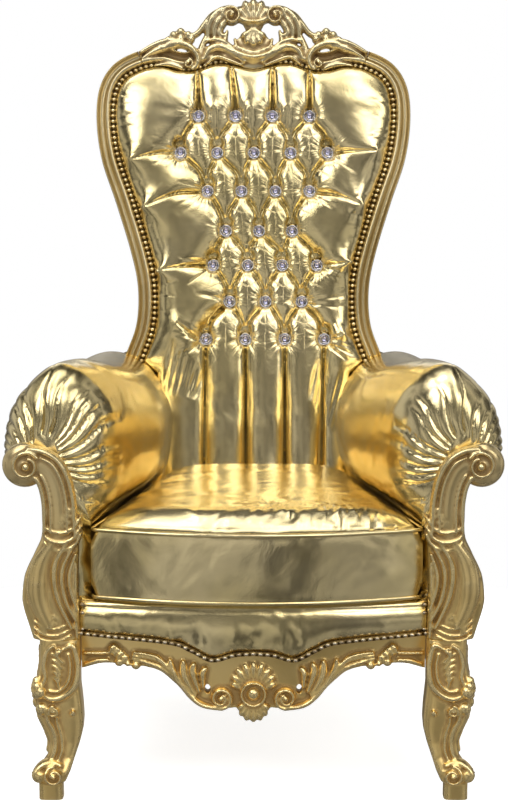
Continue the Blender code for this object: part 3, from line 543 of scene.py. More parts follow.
def fan(bm, place, centre, middle, spread, lobes, reach, width, height):
    """The lobes of a shell or palmette, spread round the turn of its middle lobe, which reaches furthest."""
    for i in range(lobes):
        share = (i / (lobes - 1) - 0.5) * 2
        angle = middle + spread * share
        length = reach * (1 - 0.22 * share * share)
        path = [
            (centre[0] + length * t * math.cos(angle), centre[1] + length * t * math.sin(angle))
            for t in (0.05, 0.55, 1.0)
        ]
        strand(bm, place, path, ((0, width * 0.40), (0.72, width * 0.92), (0.9, width * 0.85), (1, width * 0.40)),
               ((0, height * 0.8), (0.8, height), (1, height * 0.5)))


def leaf(bm, place, path, width, height, lobes):
    """An acanthus leaf: a rib, with fleshy lobes side by side that leave a flute between them."""
    curve = smooth_curve(path, 12)
    length = sum((b - a).length for a, b in zip(curve, curve[1:]))
    pitch = length / lobes
    strand(bm, place, path, ((0, width * 0.30), (0.4, width * 0.42), (1, width * 0.16)),
           even(height * 0.70, height * 0.75, height * 0.5))
    strand(bm, place, path, even(width * 0.11, width * 0.13, width * 0.07),
           even(height, height * 1.10, height * 0.8))
    for n in range(lobes):
        share = (n + 0.25) / lobes
        at = int(share * (len(curve) - 1))
        root = curve[at]
        along = heading(curve, at).normalized()
        reach = width * (0.75 + 0.35 * math.sin(math.pi * share)) * (1 - 0.30 * share)
        for side in (1, -1):
            out = across(along) * side
            knee = root + along * pitch * 0.30 + out * reach * 0.60
            tip = root + along * pitch * 0.8 + out * reach
            strand(bm, place, (tuple(root), tuple(knee), tuple(tip)),
                   ((0, pitch * 0.40), (0.6, pitch * 0.56), (1, pitch * 0.26)),
                   ((0, height * 0.70), (0.55, height * 0.92), (1, height * 0.55)), sides=10, steps=5)
    ahead = (curve[-1] - curve[-3]).normalized()
    strand(bm, place, (tuple(curve[-2]), tuple(curve[-1] + ahead * pitch * 0.3),
                       tuple(curve[-1] + ahead * pitch * 0.6)),
           even(pitch * 0.35, pitch * 0.42, pitch * 0.2), even(height * 0.8, height * 0.5), sides=10)


def both_sides(draw):
    """Draws an ornament on the right and again, mirrored, on the left."""
    for side in (1, -1):
        draw(side)


def sided(side, points):
    return [(side * u, v) for u, v in points]


def strokes(bm, place, table, side=1):
    """Carves rows of `path | widths | heights`, or `centre | radius height` for a dome, in tenths of a millimetre.

    Widths and heights are at even steps along the path, or each has its own share of it, as in `.2:66`.
    """

    def sizes_of(column):
        sizes = [size.split(":") for size in column.split()]
        if len(sizes[0]) == 2:
            return [(float(share), int(size) / TENTHS) for share, size in sizes]
        return even(*(int(size) / TENTHS for size, in sizes))

    for row in table.split(";"):
        path, *columns = row.split("|")
        path = [tuple(int(n) / TENTHS for n in point.split(",")) for point in path.split()]
        path = sided(side, path)
        if len(columns) == 1:
            boss(bm, place, path[0], *(int(n) / TENTHS for n in columns[0].split()))
        else:
            strand(bm, place, path, sizes_of(columns[0]), sizes_of(columns[1]), *map(int, columns[2:]))


def behind_front(u, v, out):
    """A point `out` behind the front of the throne."""
    return Vector((u, FRONT + out, v))


def prism(outline, place, low, high):
    """A trimming block of an outline in two directions, run from low to high in the third."""
    bm = bmesh.new()
    skin(bm, [[place(u, v, low) for u, v in outline], [place(u, v, high) for u, v in outline]])
    return from_bmesh("trim", bm, FINISH["gilt"])


def carved(name, bm, trims):
    """Fuses overlapping strokes into one carved body, eases it, and trims it to its joints."""
    made = from_bmesh(name, bm, FINISH["gilt"])
    fuse = made.modifiers.new("fuse", "REMESH")
    fuse.mode = "VOXEL"
    fuse.voxel_size = GRAIN
    ease = made.modifiers.new("ease", "SMOOTH")
    ease.factor = 0.5
    ease.iterations = EASING_STEPS
    settle(made)
    mark_cavities(made, rounds=8, scale=1.3)
    for operation, block in trims:
        cut = made.modifiers.new("trim", "BOOLEAN")
        cut.operation = operation
        cut.object = block
        cut.solver = "EXACT"
    settle(made)
    for _, block in trims:
        bpy.data.objects.remove(block)
    made.data.shade_smooth()
    return made


# The back frame.

LEFTWARDS = Vector((-1, 0))


def back_plane(height):
    """Distance along Y of the back's own plane at a height."""
    return BACK_AT + math.tan(LEAN) * (height - BACK_LEVEL)


def on_back(x, height, out):
    """A point of the back, `out` in front of its plane."""
    return Vector((x, back_plane(height) - out * math.cos(LEAN), height + out * math.sin(LEAN)))


def frame_rungs():
    """Pairs of inner and outer points along the right half of the back frame, from hip to middle."""
    outline = [(FRAME_HALF_WIDTH * w, HIP_HEIGHT + BACK_RISE * h) for w, h in FRAME_OUTLINE]
    outer = smooth_curve(outline, SPAN_STEPS)
    rungs = []
    for i, point in enumerate(outer):
        along = heading(outer, i) if i < len(outer) - 1 else LEFTWARDS
        rungs.append((point + across(along).normalized() * FRAME_FACE, point))
    return rungs


RUNGS = frame_rungs()
MOULDING = smooth_curve(
    ((0.00, 0.012), (0.03, 0.0135), (0.20, 0.0135), (0.24, 0.020), (0.31, 0.0262), (0.43, 0.0275), (0.51, 0.0225),
     (0.57, 0.0150), (0.67, 0.0118), (0.79, 0.0126), (0.86, 0.0165), (0.91, 0.0238), (0.955, 0.0262), (0.99, 0.021),
     (1.00, 0.014)), 3)


def moulding_ring(inner, outer):
    """The section of the back frame's moulding between an inner and an outer point."""
    section = [(0.0, -FRAME_BEHIND + 0.004), (0.06, -FRAME_BEHIND), *((p.x, p.y) for p in MOULDING)]
    section += [(1.0, -FRAME_BEHIND + 0.004), (0.94, -FRAME_BEHIND)]
    order = section[2:-2] + section[-2:] + section[1::-1]
    return [on_back(*inner.lerp(outer, share), out) for share, out in order]


def inner_edge(gap):
    """The frame's inner edge, from the right hip over the top to the left hip, drawn in by a gap."""
    inside = [i for i, _ in RUNGS]
    right = []
    for i, point in enumerate(inside):
        along = heading(inside, i) if i < len(inside) - 1 else LEFTWARDS
        right.append(point + across(along).normalized() * gap)
    return right + [Vector((-p.x, p.y)) for p in right[-2::-1]]


def make_stiles():
    last = STILE_SPANS * SPAN_STEPS
    bm = bmesh.new()
    skin(bm, [moulding_ring(*rung) for rung in RUNGS[: last + 1]])
    right = from_bmesh("gilt_stile_right", bm, FINISH["gilt"])
    mark_cavities(right, rounds=4, scale=1.4)
    pair(right, "gilt_stile", "back_stile")


def make_crest():
    """Top rail with its shell, volutes, acanthus and pierced scrolls."""
    half = RUNGS[STILE_SPANS * SPAN_STEPS:]
    whole = half + [(Vector((-i.x, i.y)), Vector((-o.x, o.y))) for i, o in half[-2::-1]]
    bm = bmesh.new()
    skin(bm, [moulding_ring(*rung) for rung in whole])
    top = HIP_HEIGHT + BACK_RISE
    carve_crest(bm, top)
    cut = (half[0][1] - half[0][0]).normalized()
    aside = across(cut) * JOINT
    inner = [i for i, _ in half]
    inner[0] = inner[0] + aside
    far = half[0][1] + aside + cut * 0.12
    right = [Vector((FRAME_HALF_WIDTH, top + 0.2)), far, *inner]
    outline = [tuple(p) for p in right] + [(-p.x, p.y) for p in right[-2::-1]]
    crest = carved("gilt_crest", bm, [("INTERSECT", prism(outline, on_back, -0.030, 0.080))])
    rides(crest, "gilt_wood", "crest_rail")


def carve_crest(bm, top):
    """Heights are from the top edge of the rail."""

    def place(u, v, out):
        return on_back(u, top + v, 0.018 + out)

    tip = CREST_RISE
    fan(bm, place, (0, tip - 0.059), math.pi / 2, math.radians(57), 7, 0.057, 0.0094, 0.016)
    boss(bm, place, (0, tip - 0.048), 0.022, 0.009)
    strokes(bm, place, """
        -300,550 -160,470 0,450 160,470 300,550 | 35 58 35 | 140 220 140;
        0,350 | 170 100""")
    fan(bm, place, (0, 0.033), -math.pi / 2, math.radians(52), 5, 0.038, 0.0086, 0.015)
    strokes(bm, place, """
        -520,300 -550,60 -380,-140 0,-250 380,-140 550,60 520,300 | 0:30 .2:66 .5:78 .8:66 1:30 | 0:100 .5:190
            1:100;
        -380,140 -300,-50 0,-150 300,-50 380,140 | 30 42 30 | 80 120 80;
        0,-100 | 400 60""")

    def side_work(side):
        turn = 0 if side > 0 else math.pi
        volute(bm, place, (side * 0.044, 0.057), 0.0240, turn, side * 1.40, 0.019)
        boss(bm, place, (side * 0.075, 0.045), 0.021, 0.006)
        for shift, wide, high in ((0.0, 0.0090, 0.019), (-0.0125, 0.0084, 0.018), (-0.0245, 0.0072, 0.015)):
            strand(bm, place, sided(side, (
                (0.048 + shift * 0.3, 0.0760 + shift * 0.4), (0.066 + shift * 0.5, 0.0680 + shift * 0.7),
                (0.083 + shift * 0.8, 0.0510 + shift * 0.6), (0.091 + shift, 0.0310 + shift * 0.2),
                (0.090 + shift, 0.0110))),
                ((0, 0.004), (0.4, wide), (0.8, wide * 0.85), (1, 0.0035)), even(0.014, high, 0.010))
        strokes(bm, place, """
            620,730 830,600 980,400 1120,230 1340,130 | 40 66 60 | 120 150 120;
            600,420 690,310 660,200 550,180 | 40 70 50 | 120 120;
            940,180 1000,40 1050,-120 1030,-300 | 50 70 60 | 100 120;
            160,-340 400,-160 660,-40 880,-100 1000,-300 | 0:40 .35:100 .75:94 1:40 | 120 185 130 | 16;
            300,-140 500,10 720,100 940,80 | 30 66 40 | 110 165 120;
            220,-400 500,-300 740,-240 940,-380 | 30 52 30 | 110 150 110""", side)
        strokes(bm, place, """
            1300,200 | 85 150;
            1450,260 | 90 150;
            1590,200 | 85 150;
            1700,110 | 70 150;
            1450,120 | 100 150;
            1240,110 | 75 150;
            1920,-120 1680,10 1420,20 1220,-80 1110,-240 1130,-400 1230,-500 | 0:40 .3:86 .7:76 1:50 | 0:130 .5:200
                1:150""", side)
        volute(bm, place, (side * 0.130, -0.037), 0.0125, math.pi / 2, side * 1.2, 0.018)
        strokes(bm, place, """
            1400,-470 1560,-410 1740,-380 1980,-420 | 50 60 40 | 120 120;
            1460,-20 1720,-40 1980,-130 2220,-270 | 0:40 .45:98 1:30 | 120 165 100 | 16;
            1400,80 1700,80 1980,0 2260,-150 | 50 70 40 | 130 160 110""", side)

    both_sides(side_work)


# The front rail, posts and legs.


def rail_face(x):
    """Distance along Y of the front rail's face, which bows forward in the middle."""
    share = x / LEG_INNER
    return FRONT + DECK_SETBACK + DECK_BOW * share * share


def rail_edge():
    """The top edge of the front rail, from its middle to its end."""
    top = smooth_curve(APRON_TOP, 8)
    half = LEG_INNER - APRON_GAP
    return [(p.x * half / top[-1].x, p.y) for p in top]


RAIL_EDGE = rail_edge()


def make_apron():
    low = [tuple(p) for p in smooth_curve(APRON_LOW, 6)]
    half = RAIL_EDGE[-1][0]
    reach = low[-1][0]
    bm = bmesh.new()
    rings = []
    for x in [-p for p, _ in low[:0:-1]] + [p for p, _ in low]:
        under = between(low, abs(x))
        over = between(RAIL_EDGE, abs(x)) + 0.004
        wide = x * (half + 0.004) / reach
        face = rail_face(wide) + APRON_RELIEF * 0.5
        back = rail_face(wide) + RAIL_THICKNESS
        rings.append([(wide, face, under), (wide, face, over), (wide, back, over), (wide, back, under)])
    skin(bm, rings)
    carve_apron(bm)

    upper = [(-x, z) for x, z in RAIL_EDGE[:0:-1]] + RAIL_EDGE
    outline = [(half, 0.10), (-half, 0.10), *upper]
    holes = bmesh.new()

    def pierce(side):
        skin(holes, [[(side * 0.080 + 0.0055 * math.cos(a), y, 0.1975 + 0.009 * math.sin(a)) for a in turns(20)]
                     for y in (FRONT - 0.03, FRONT + 0.13)])

    both_sides(pierce)
    trims = [
        ("INTERSECT", prism(outline, behind_front, -0.02, DECK_SETBACK + DECK_BOW + RAIL_THICKNESS)),
        ("DIFFERENCE", from_bmesh("holes", holes, FINISH["gilt"])),
    ]
    rail = carved("gilt_apron", bm, trims)
    rides(rail, "gilt_wood", "front_rail")


def carve_apron(bm):
    """Shell, volutes and leaves of the apron; heights are above the floor."""

    def place(u, v, out):
        return Vector((u, rail_face(u) + APRON_RELIEF * 0.5 - out, v))

    fan(bm, place, (0, 0.194), math.pi / 2, math.radians(70), 9, 0.053, 0.0068, 0.008)
    fan(bm, place, (0, 0.184), -math.pi / 2, math.radians(52), 7, 0.045, 0.0068, 0.011)
    strand(bm, place, spiral((0, 0.1915), 0.0205, 0.0205, 0, 1.0, 24), even(0.0036, 0.0036), even(0.016, 0.016))
    strokes(bm, place, """
        0,1915 | 200 100;
        0,1915 | 135 180""")

    def side_work(side):
        volute(bm, place, (side * 0.0565, 0.1835), 0.0240, -math.pi / 2, -side * 1.45, 0.015)
        strokes(bm, place, """
            2125,2500 1890,2450 1585,2340 1290,2100 1080,1850 870,1700 540,1650 | 25 62 55 | 0:80 .6:130
                1:150;
            2120,2550 1870,2530 1620,2460 1430,2290 1230,2060 1080,1930 | 20 42 34 | 0:80 .6:120 1:100;
            2105,2610 1870,2590 1680,2540 1545,2440 1390,2300 | 22 44 30 | 0:80 .6:110 1:100;
            2980,2560 2620,2580 2400,2620 | 32 32 | 80 90;
            2960,2340 2740,2430 2520,2455 | 46 40 | 70 80""", side)
        for path, broad in (
                (((0.100, 0.186), (0.112, 0.205), (0.121, 0.226), (0.122, 0.250)), 0.0088),
                (((0.094, 0.192), (0.101, 0.212), (0.106, 0.231), (0.103, 0.246)), 0.0078),
                (((0.087, 0.200), (0.088, 0.216), (0.088, 0.229), (0.081, 0.238)), 0.0070),
                (((0.110, 0.196), (0.128, 0.212), (0.141, 0.232), (0.146, 0.252)), 0.0070)):
            strand(bm, place, sided(side, path),
                   ((0, broad * 0.45), (0.6, broad), (0.88, broad * 0.85), (1, broad * 0.35)),
                   ((0, 0.009), (0.6, 0.0135), (1, 0.009)))
        leaf(bm, place, sided(side, ((0.249, 0.271), (0.236, 0.259), (0.220, 0.2465))), 0.0085, 0.012, 4)
        strokes(bm, place, """
            2345,2425 | 82 120;
            2050,2380 | 82 130;
            2190,2410 | 60 120""", side)

    both_sides(side_work)


def post_place(u, v, out):
    """A point on an arm post, `out` in front of the middle of its thickness."""
    return Vector((u, FRONT + POST_SETBACK + POST_THICKNESS / 2 - out, v))


def make_posts():
    """Arm posts that rise from the legs and roll outwards into the arm scrolls."""
    bm = bmesh.new()
    scroll = Vector((SCROLL_FROM_MIDDLE, SCROLL_HEIGHT))
    body = [(x, LEG_TOP + above) for x, above in POST_RISE]
    body += [(scroll.x - near, scroll.y - below) for near, below in POST_NECK]
    deep = POST_THICKNESS / 2
    strand(bm, post_place, body, POST_WIDTHS, ((0, deep * 0.86), (0.3, deep * 0.92), (1, deep * 0.90)), sides=24)

    def raised(u, v, out):
        return post_place(u, v, out + deep * 0.66)

    path = smooth_curve(body, 8)

    def edge_line(aside, start, end, thick, high):
        line = []
        count = len(path) - 1
        for i in range(int(start * count), int(end * count) + 1, 3):
            line.append(tuple(path[i] + across(heading(path, i).normalized())
                              * between(POST_WIDTHS, i / count) * aside))
        strand(bm, raised, line, ((0, thick * 0.6), (0.2, thick), (0.9, thick), (1, thick * 0.6)), even(high, high),
               steps=4)

    edge_line(0.84, 0.55, 1.0, 0.0050, 0.009)
    edge_line(0.45, 0.55, 0.94, 0.0040, 0.009)
    edge_line(-0.86, 0.55, 1.0, 0.0046, 0.007)
    edge_line(-0.50, 0.55, 0.90, 0.0032, 0.008)
    edge_line(0.88, 0.02, 0.46, 0.0044, 0.006)
    strokes(bm, raised, """
        3440,4620 3660,4250 3735,3880 3700,3500 3530,3090 | 0:70 .3:165 .6:190 1:130 | 70 135 100 | 20""")
    for line, wide_at, high in (
            (((0.322, 0.458), (0.340, 0.428), (0.3440, 0.395), (0.336, 0.355), (0.314, 0.306)), 0.0074, 0.0150),
            (((0.313, 0.450), (0.3275, 0.420), (0.3310, 0.392), (0.324, 0.356), (0.307, 0.320)), 0.0060, 0.0130),
            (((0.306, 0.440), (0.3150, 0.415), (0.3180, 0.390), (0.312, 0.360), (0.304, 0.338)), 0.0050, 0.0110)):
        strand(bm, raised, line, ((0, wide_at * 0.6), (0.35, wide_at), (0.7, wide_at * 0.9), (1, wide_at * 0.5)),
               even(high * 0.7, high, high * 0.7))
    for u, v in ((0.379, 0.415), (0.385, 0.404), (0.389, 0.392), (0.390, 0.350), (0.386, 0.339), (0.380, 0.329)):
        boss(bm, post_place, (u, v), 0.0070, deep * 0.62)
    boss(bm, post_place, (scroll.x, scroll.y), SCROLL_RADIUS * 0.98, deep * 0.95, sides=36)
    strand(bm, raised, spiral((scroll.x - 0.004, scroll.y + 0.002), SCROLL_RADIUS * 0.62, 0.0135, math.radians(150),
                              -1.15),
           even(0.0046, 0.0036), even(0.012, 0.014))
    boss(bm, raised, (scroll.x - 0.004, scroll.y + 0.001), 0.0092, 0.018)
    for lift, out in ((0.0, 1.10), (-0.017, 1.16), (-0.031, 1.04)):
        strand(bm, post_place, ((0.297, 0.505 + lift), (0.308, 0.487 + lift), (0.328, 0.477 + lift),
                                (0.352, 0.481 + lift), (0.362, 0.492 + lift)),
               ((0, 0.003), (0.4, 0.0078), (0.8, 0.0070), (1, 0.0025)), even(deep * 0.9, deep * out, deep * 0.8))
    leaf(bm, raised, ((0.316, 0.520), (0.320, 0.502), (0.334, 0.488)), 0.0100, 0.009, 4)
    for lift in (0.0, 0.012, 0.023):
        strand(bm, post_place, ((0.316, LEG_TOP + 0.032 - lift), (0.340, LEG_TOP + 0.022 - lift),
                                (0.364, LEG_TOP + 0.024 - lift), (0.381, LEG_TOP + 0.036 - lift)),
               even(0.003, 0.0062, 0.0032), even(deep * 0.9, deep * 1.04, deep * 0.85))
    leaf(bm, raised, ((0.344, LEG_TOP + 0.046), (0.352, LEG_TOP + 0.030), (0.368, LEG_TOP + 0.016)), 0.0100, 0.009, 4)

    limit = [(POST_INNER, LEG_TOP + JOINT), (0.50, LEG_TOP + JOINT), (0.50, 0.90), (0.28, 0.90), (0.28, SEAT_LEVEL),
             (POST_INNER, DECK_TOP + 0.02)]
    outline = prism(limit, behind_front, -0.05, POST_SETBACK + POST_THICKNESS)
    right = carved("gilt_arm_post_right", bm, [("INTERSECT", outline)])
    pair(right, "gilt_arm_post", "arm_post")


# Sections of a front leg from the top down: height, inner and outer side, front and rear behind the front.
LEG_SECTIONS = (
    (LEG_TOP + 0.010, 0.302, 0.373, 0.032, 0.092), (0.240, 0.3025, 0.373, 0.030, 0.096),
    (0.200, 0.3025, 0.381, 0.026, 0.098), (0.165, 0.2985, 0.379, 0.026, 0.092), (0.141, 0.297, 0.376, 0.029, 0.087),
    (0.122, 0.2985, 0.366, 0.031, 0.081), (0.100, 0.304, 0.3575, 0.032, 0.074), (0.076, 0.312, 0.361, 0.028, 0.068),
    (0.052, 0.320, 0.378, 0.014, 0.066), (FOOT_HEIGHT, 0.328, 0.380, 0.014, 0.062),
    (FOOT_HEIGHT - 0.004, 0.334, 0.334 + FOOT_BLOCK, 0.020, 0.062), (-0.010, 0.334, 0.334 + FOOT_BLOCK, 0.022, 0.064),
)
KNEE_REACH = 0.288
KNEE_TOP = 0.206


def make_front_legs():
    """Cabriole legs: a cartouche above, a narrow ankle and a scroll foot on a block."""
    bm = bmesh.new()
    rings = []
    levels, *sizes = zip(*LEG_SECTIONS[::-1])
    for height in np.linspace(LEG_SECTIONS[0][0], LEG_SECTIONS[-1][0], 70):
        inner, outer, ahead, behind = (np.interp(height, levels, size) for size in sizes)
        middle = Vector(((inner + outer) / 2, FRONT + (ahead + behind) / 2))
        half = Vector(((outer - inner) / 2, (behind - ahead) / 2))
        rings.append([(middle.x + half.x * power(math.cos(a), 0.42), middle.y + half.y * power(math.sin(a), 0.42),
                       height)
                      for a in turns(40)])
    skin(bm, rings)

    def face(u, v, out):
        ahead = float(np.interp(v, levels, sizes[2]))
        return Vector((u, FRONT + ahead + 0.001 - out, v))

    def flank(u, v, out):
        side = float(np.interp(v, levels, sizes[1]))
        return Vector((side - 0.001 + out, FRONT + u, v))

    strokes(bm, face, """
        3300,2700 3147,2760 3070,2560 3050,2295 3118,2045 3290,1875 3490,1815 3660,1885 | 0:30 .2:56 .8:60 1:40 |
            60 85 80;
        3220,2620 3180,2395 3220,2135 3380,1965 3560,1965 | 22 34 22 | 50 65 60""")
    volute(bm, face, (0.337, 0.2670), 0.0092, -math.pi / 2, 1.2, 0.009)
    strokes(bm, face, """
        3450,2770 3580,2660 3640,2415 3620,2195 3700,2015 | 30 42 40 | 60 60""")
    for k in range(5):
        top, low = 0.262 - 0.0105 * k, 0.245 - 0.0105 * k
        strand(bm, face, ((0.352 - 0.001 * k, top), (0.342, top - 0.004), (0.330 + 0.002 * k, low)),
               ((0, 0.0022), (0.4, 0.0044), (1, 0.0026)), even(0.004, 0.0075, 0.005))
    leaf(bm, flank, ((0.040, 0.2175), (0.034, 0.2015), (0.040, 0.1835)), 0.0130, 0.009, 4)
    strokes(bm, face, """
        3720,1945 | 125 140;
        3760,2055 | 85 120""")
    volute(bm, face, (0.347, 0.1605), 0.0135, math.pi / 2, -1.3, 0.012)
    boss(bm, face, (0.368, 0.1635), 0.012, 0.01)
    volute(bm, face, (0.3155, 0.1563), 0.0072, math.pi / 2, 1.1, 0.010)
    strokes(bm, face, """
        3590,1574 3585,1429 3490,1228 3455,1017 3490,815 3560,705 | 40 50 40 | 90 70 90;
        3420,1491 3426,1394 3360,1145 3345,896 3400,735 | 30 38 30 | 80 60 80;
        3340,635 3500,695 3660,665 3780,575 3840,455 | 40 65 40 | 100 120 90""")
    volute(bm, face, (0.3475, 0.0475), 0.0215, math.pi / 2, -1.3, 0.014)
    boss(bm, face, (0.374, 0.0465), 0.013, 0.01)
    volute(bm, flank, (0.036, 0.0455), 0.016, math.pi / 2, 1.4, 0.010)
    boss(bm, flank, (0.05, 0.1695), 0.011, 0.009)
    leaf(bm, flank, ((0.062, 0.2700), (0.066, 0.2415), (0.060, 0.2175)), 0.0140, 0.005, 5)
    strokes(bm, flank, """
        600,1574 520,1203 460,811 | 40 30 | 60 60""")

    limit = [(LEG_INNER, LEG_TOP), (LEG_INNER, KNEE_TOP), (KNEE_REACH, KNEE_TOP - 0.020), (KNEE_REACH, 0.0),
             (ARM_HALF_WIDTH, 0.0), (ARM_HALF_WIDTH, LEG_TOP)]
    right = carved("gilt_leg_right", bm, [("INTERSECT", prism(limit, behind_front, -0.05, 0.20))])
    pair(right, "gilt_leg", "front_leg")


# Upholstery.


def sheet_piece(name, front, behind, finish):
    """A closed body of a fine front grid, a rim and one flat face behind it."""
    rows, columns = front.shape[:2]
    count = rows * columns
    index = np.arange(count).reshape(rows, columns)
    quads = np.stack([index[:-1, :-1], index[:-1, 1:], index[1:, 1:], index[1:, :-1]], -1).reshape(-1, 4)
    around = np.concatenate([index[0, :-1], index[:-1, -1], index[-1, :0:-1], index[:0:-1, 0]])
    back = count + np.arange(len(around))
    rim = np.stack([np.roll(around, -1), around, back, np.roll(back, -1)], -1)
    points = np.concatenate([front.reshape(-1, 3), behind.reshape(-1, 3)[around]])
    faces = [*quads.tolist(), *rim.tolist(), back[::-1].tolist()]
    mesh = bpy.data.meshes.new(name)
    mesh.from_pydata(points.tolist(), [], faces)
    return object_of(name, mesh, finish)


def ring_piece(name, rings, finish):
    """A closed body skinned over an array of rings."""
    bm = bmesh.new()
    skin(bm, [[tuple(p) for p in ring] for ring in rings])
    return from_bmesh(name, bm, finish)


def button_places():
    """Where each crystal button is, row by row, as a distance from the middle and a height."""
    return [
        [(centre + spacing * (i - (count - 1) / 2), height) for i in range(count)]
        for count, spacing, centre, height in BUTTON_ROWS
    ]


def pad_width(height):
    """Half width of the inside back at a height."""
    for a, b in zip([Vector((PAD_FOOT_HALF_WIDTH, INSIDE[0].y - PAD_NECK)), *INSIDE_RIGHT], INSIDE_RIGHT):
        if a.y <= height <= b.y:
            return a.x + (b.x - a.x) * (height - a.y) / max(1e-9, b.y - a.y)
    return PAD_FOOT_HALF_WIDTH


INSIDE = inner_edge(JOINT)
INSIDE_RIGHT = INSIDE[: len(INSIDE) // 2 + 1]


def segment_distance(x, z, start, end):
    """How far each place is from a segment, and how far along the segment its nearest point lies."""
    dx, dz = end[0] - start[0], end[1] - start[1]
    length = math.hypot(dx, dz)
    t = np.clip(((x - start[0]) * dx + (z - start[1]) * dz) / length**2, 0, 1)
    return np.hypot(x - start[0] - t * dx, z - start[1] - t * dz), t


# The covering of the inside back: its grid, how far it swells, how low its folds lie, and how long it is relaxed.
PAD_COLUMNS = 222
PAD_ROWS = 400
COVERING_STEP = 0.002
PAD_RIM = 0.014
PAD_SWELL = 0.0080
PAD_FULLNESS = 0.36
PAD_SWELL_LIMIT = 0.044
PAD_BULGE = 0.008
FOLD_LEVEL = 0.0225
RELAX_ROUNDS = 260

# Buttons closer than this across have a fold between them. A side fold has the row of its button, how far from
# the middle it ends, how far that is above the button, and its side.
FOLD_REACH = 0.062
SIDE_FOLDS = (
    (1, 0.244, 0.002, 1), (1, 0.244, -0.016, -1), (2, 0.218, -0.030, 1), (2, 0.220, -0.034, -1),
    (4, 0.198, 0.004, 1), (4, 0.198, -0.014, -1), (6, 0.180, 0.010, 1), (6, 0.150, 0.030, -1),
)


class Covering:
    """The covering of the inside back as a field of heights: held down along its folds, swollen between them."""

    def __init__(self):
        self.across = np.arange(-0.320, 0.3201, COVERING_STEP)
        self.up = np.arange(0.340, 1.3201, COVERING_STEP)
        self.x, self.z = np.meshgrid(self.across, self.up)
        widths = np.array([pad_width(z) for z in self.up])
        tops = np.array([top_edge(abs(x)) for x in self.across])
        held = (np.abs(self.x) > widths[:, None] - 0.001) | (self.z > tops[None, :] - 0.001)
        held[0], held[-1], held[:, 0], held[:, -1] = True, True, True, True
        self.height = np.where(held, PAD_RIM, 0.0)
        self.height[0] = 0.030
        self.grip = held.astype(float)

    def hold(self, path, halves, heights, steps=6):
        """Holds down a band along a path; half widths and heights are tables along it."""
        curve = smooth_curve(path, steps) if len(path) > 2 else [Vector(p) for p in path]
        lengths = [(b - a).length for a, b in zip(curve, curve[1:])]
        total, done = sum(lengths), 0.0
        reach = max(h for _, h in halves) + COVERING_STEP
        for a, b, length in zip(curve, curve[1:], lengths):
            left, right = np.searchsorted(self.across, (min(a.x, b.x) - reach, max(a.x, b.x) + reach))
            low, high = np.searchsorted(self.up, (min(a.y, b.y) - reach, max(a.y, b.y) + reach))
            window = (slice(low, high), slice(left, right))
            away, t = segment_distance(self.x[window], self.z[window], a, b)
            share = (done + t * length) / total
            grip = np.clip((np.interp(share, *zip(*halves)) - away) / COVERING_STEP + 0.75, 0, 1)
            level = np.interp(share, *zip(*heights))
            before = np.where(self.grip[window] > 0.05, self.height[window], 9.0)
            self.height[window] = np.where(grip > 0.05, np.minimum(level, before), self.height[window])
            self.grip[window] = np.maximum(self.grip[window], grip)
            done += length

    def relaxed(self, value, source):
        """Evens a field out between its held places, as a stretched skin under an even push would be."""
        grip = self.grip[1:-1, 1:-1]
        free = grip < 0.98
        spring = np.where(free, grip / np.maximum(1 - grip, 0.02), 0.0)
        pull = spring * value[1:-1, 1:-1]
        odd = (np.add.outer(np.arange(free.shape[0]), np.arange(free.shape[1])) % 2).astype(bool)
        speed = 1.93 - 0.93 * np.minimum(spring, 1.0)
        colours = [(free & odd) * speed, (free & ~odd) * speed]
        inner = value[1:-1, 1:-1]
        for _ in range(RELAX_ROUNDS):
            for colour in colours:
                around = (value[:-2, 1:-1] + value[2:, 1:-1] + value[1:-1, :-2] + value[1:-1, 2:]) / 4 + source
                inner += colour * ((around + pull) / (1 + spring) - inner)
        return value

    def settle(self):
        """Works the heights out, once everything is held that has to be."""
        floor = self.relaxed(np.where(self.grip > 0.05, self.height, 0.030), 0.0)
        push = self.relaxed(np.zeros_like(floor), COVERING_STEP**2)
        swell = PAD_SWELL * (np.maximum(push, 0) / 1.5e-4) ** PAD_FULLNESS
        out = floor + PAD_SWELL_LIMIT * np.tanh(swell / PAD_SWELL_LIMIT)
        self.height = out - 0.004 * np.log1p(np.exp((out - PAD_THICKNESS - PAD_BULGE + 0.002) / 0.004))

    def at(self, x, z):
        """The height at each of many places."""
        u = np.clip((x - self.across[0]) / COVERING_STEP, 0, len(self.across) - 1.001)
        v = np.clip((z - self.up[0]) / COVERING_STEP, 0, len(self.up) - 1.001)
        i, j = u.astype(int), v.astype(int)
        u, v = u - i, v - j
        h = self.height
        low = h[j, i] * (1 - u) + h[j, i + 1] * u
        high = h[j + 1, i] * (1 - u) + h[j + 1, i + 1] * u
        return low * (1 - v) + high * v


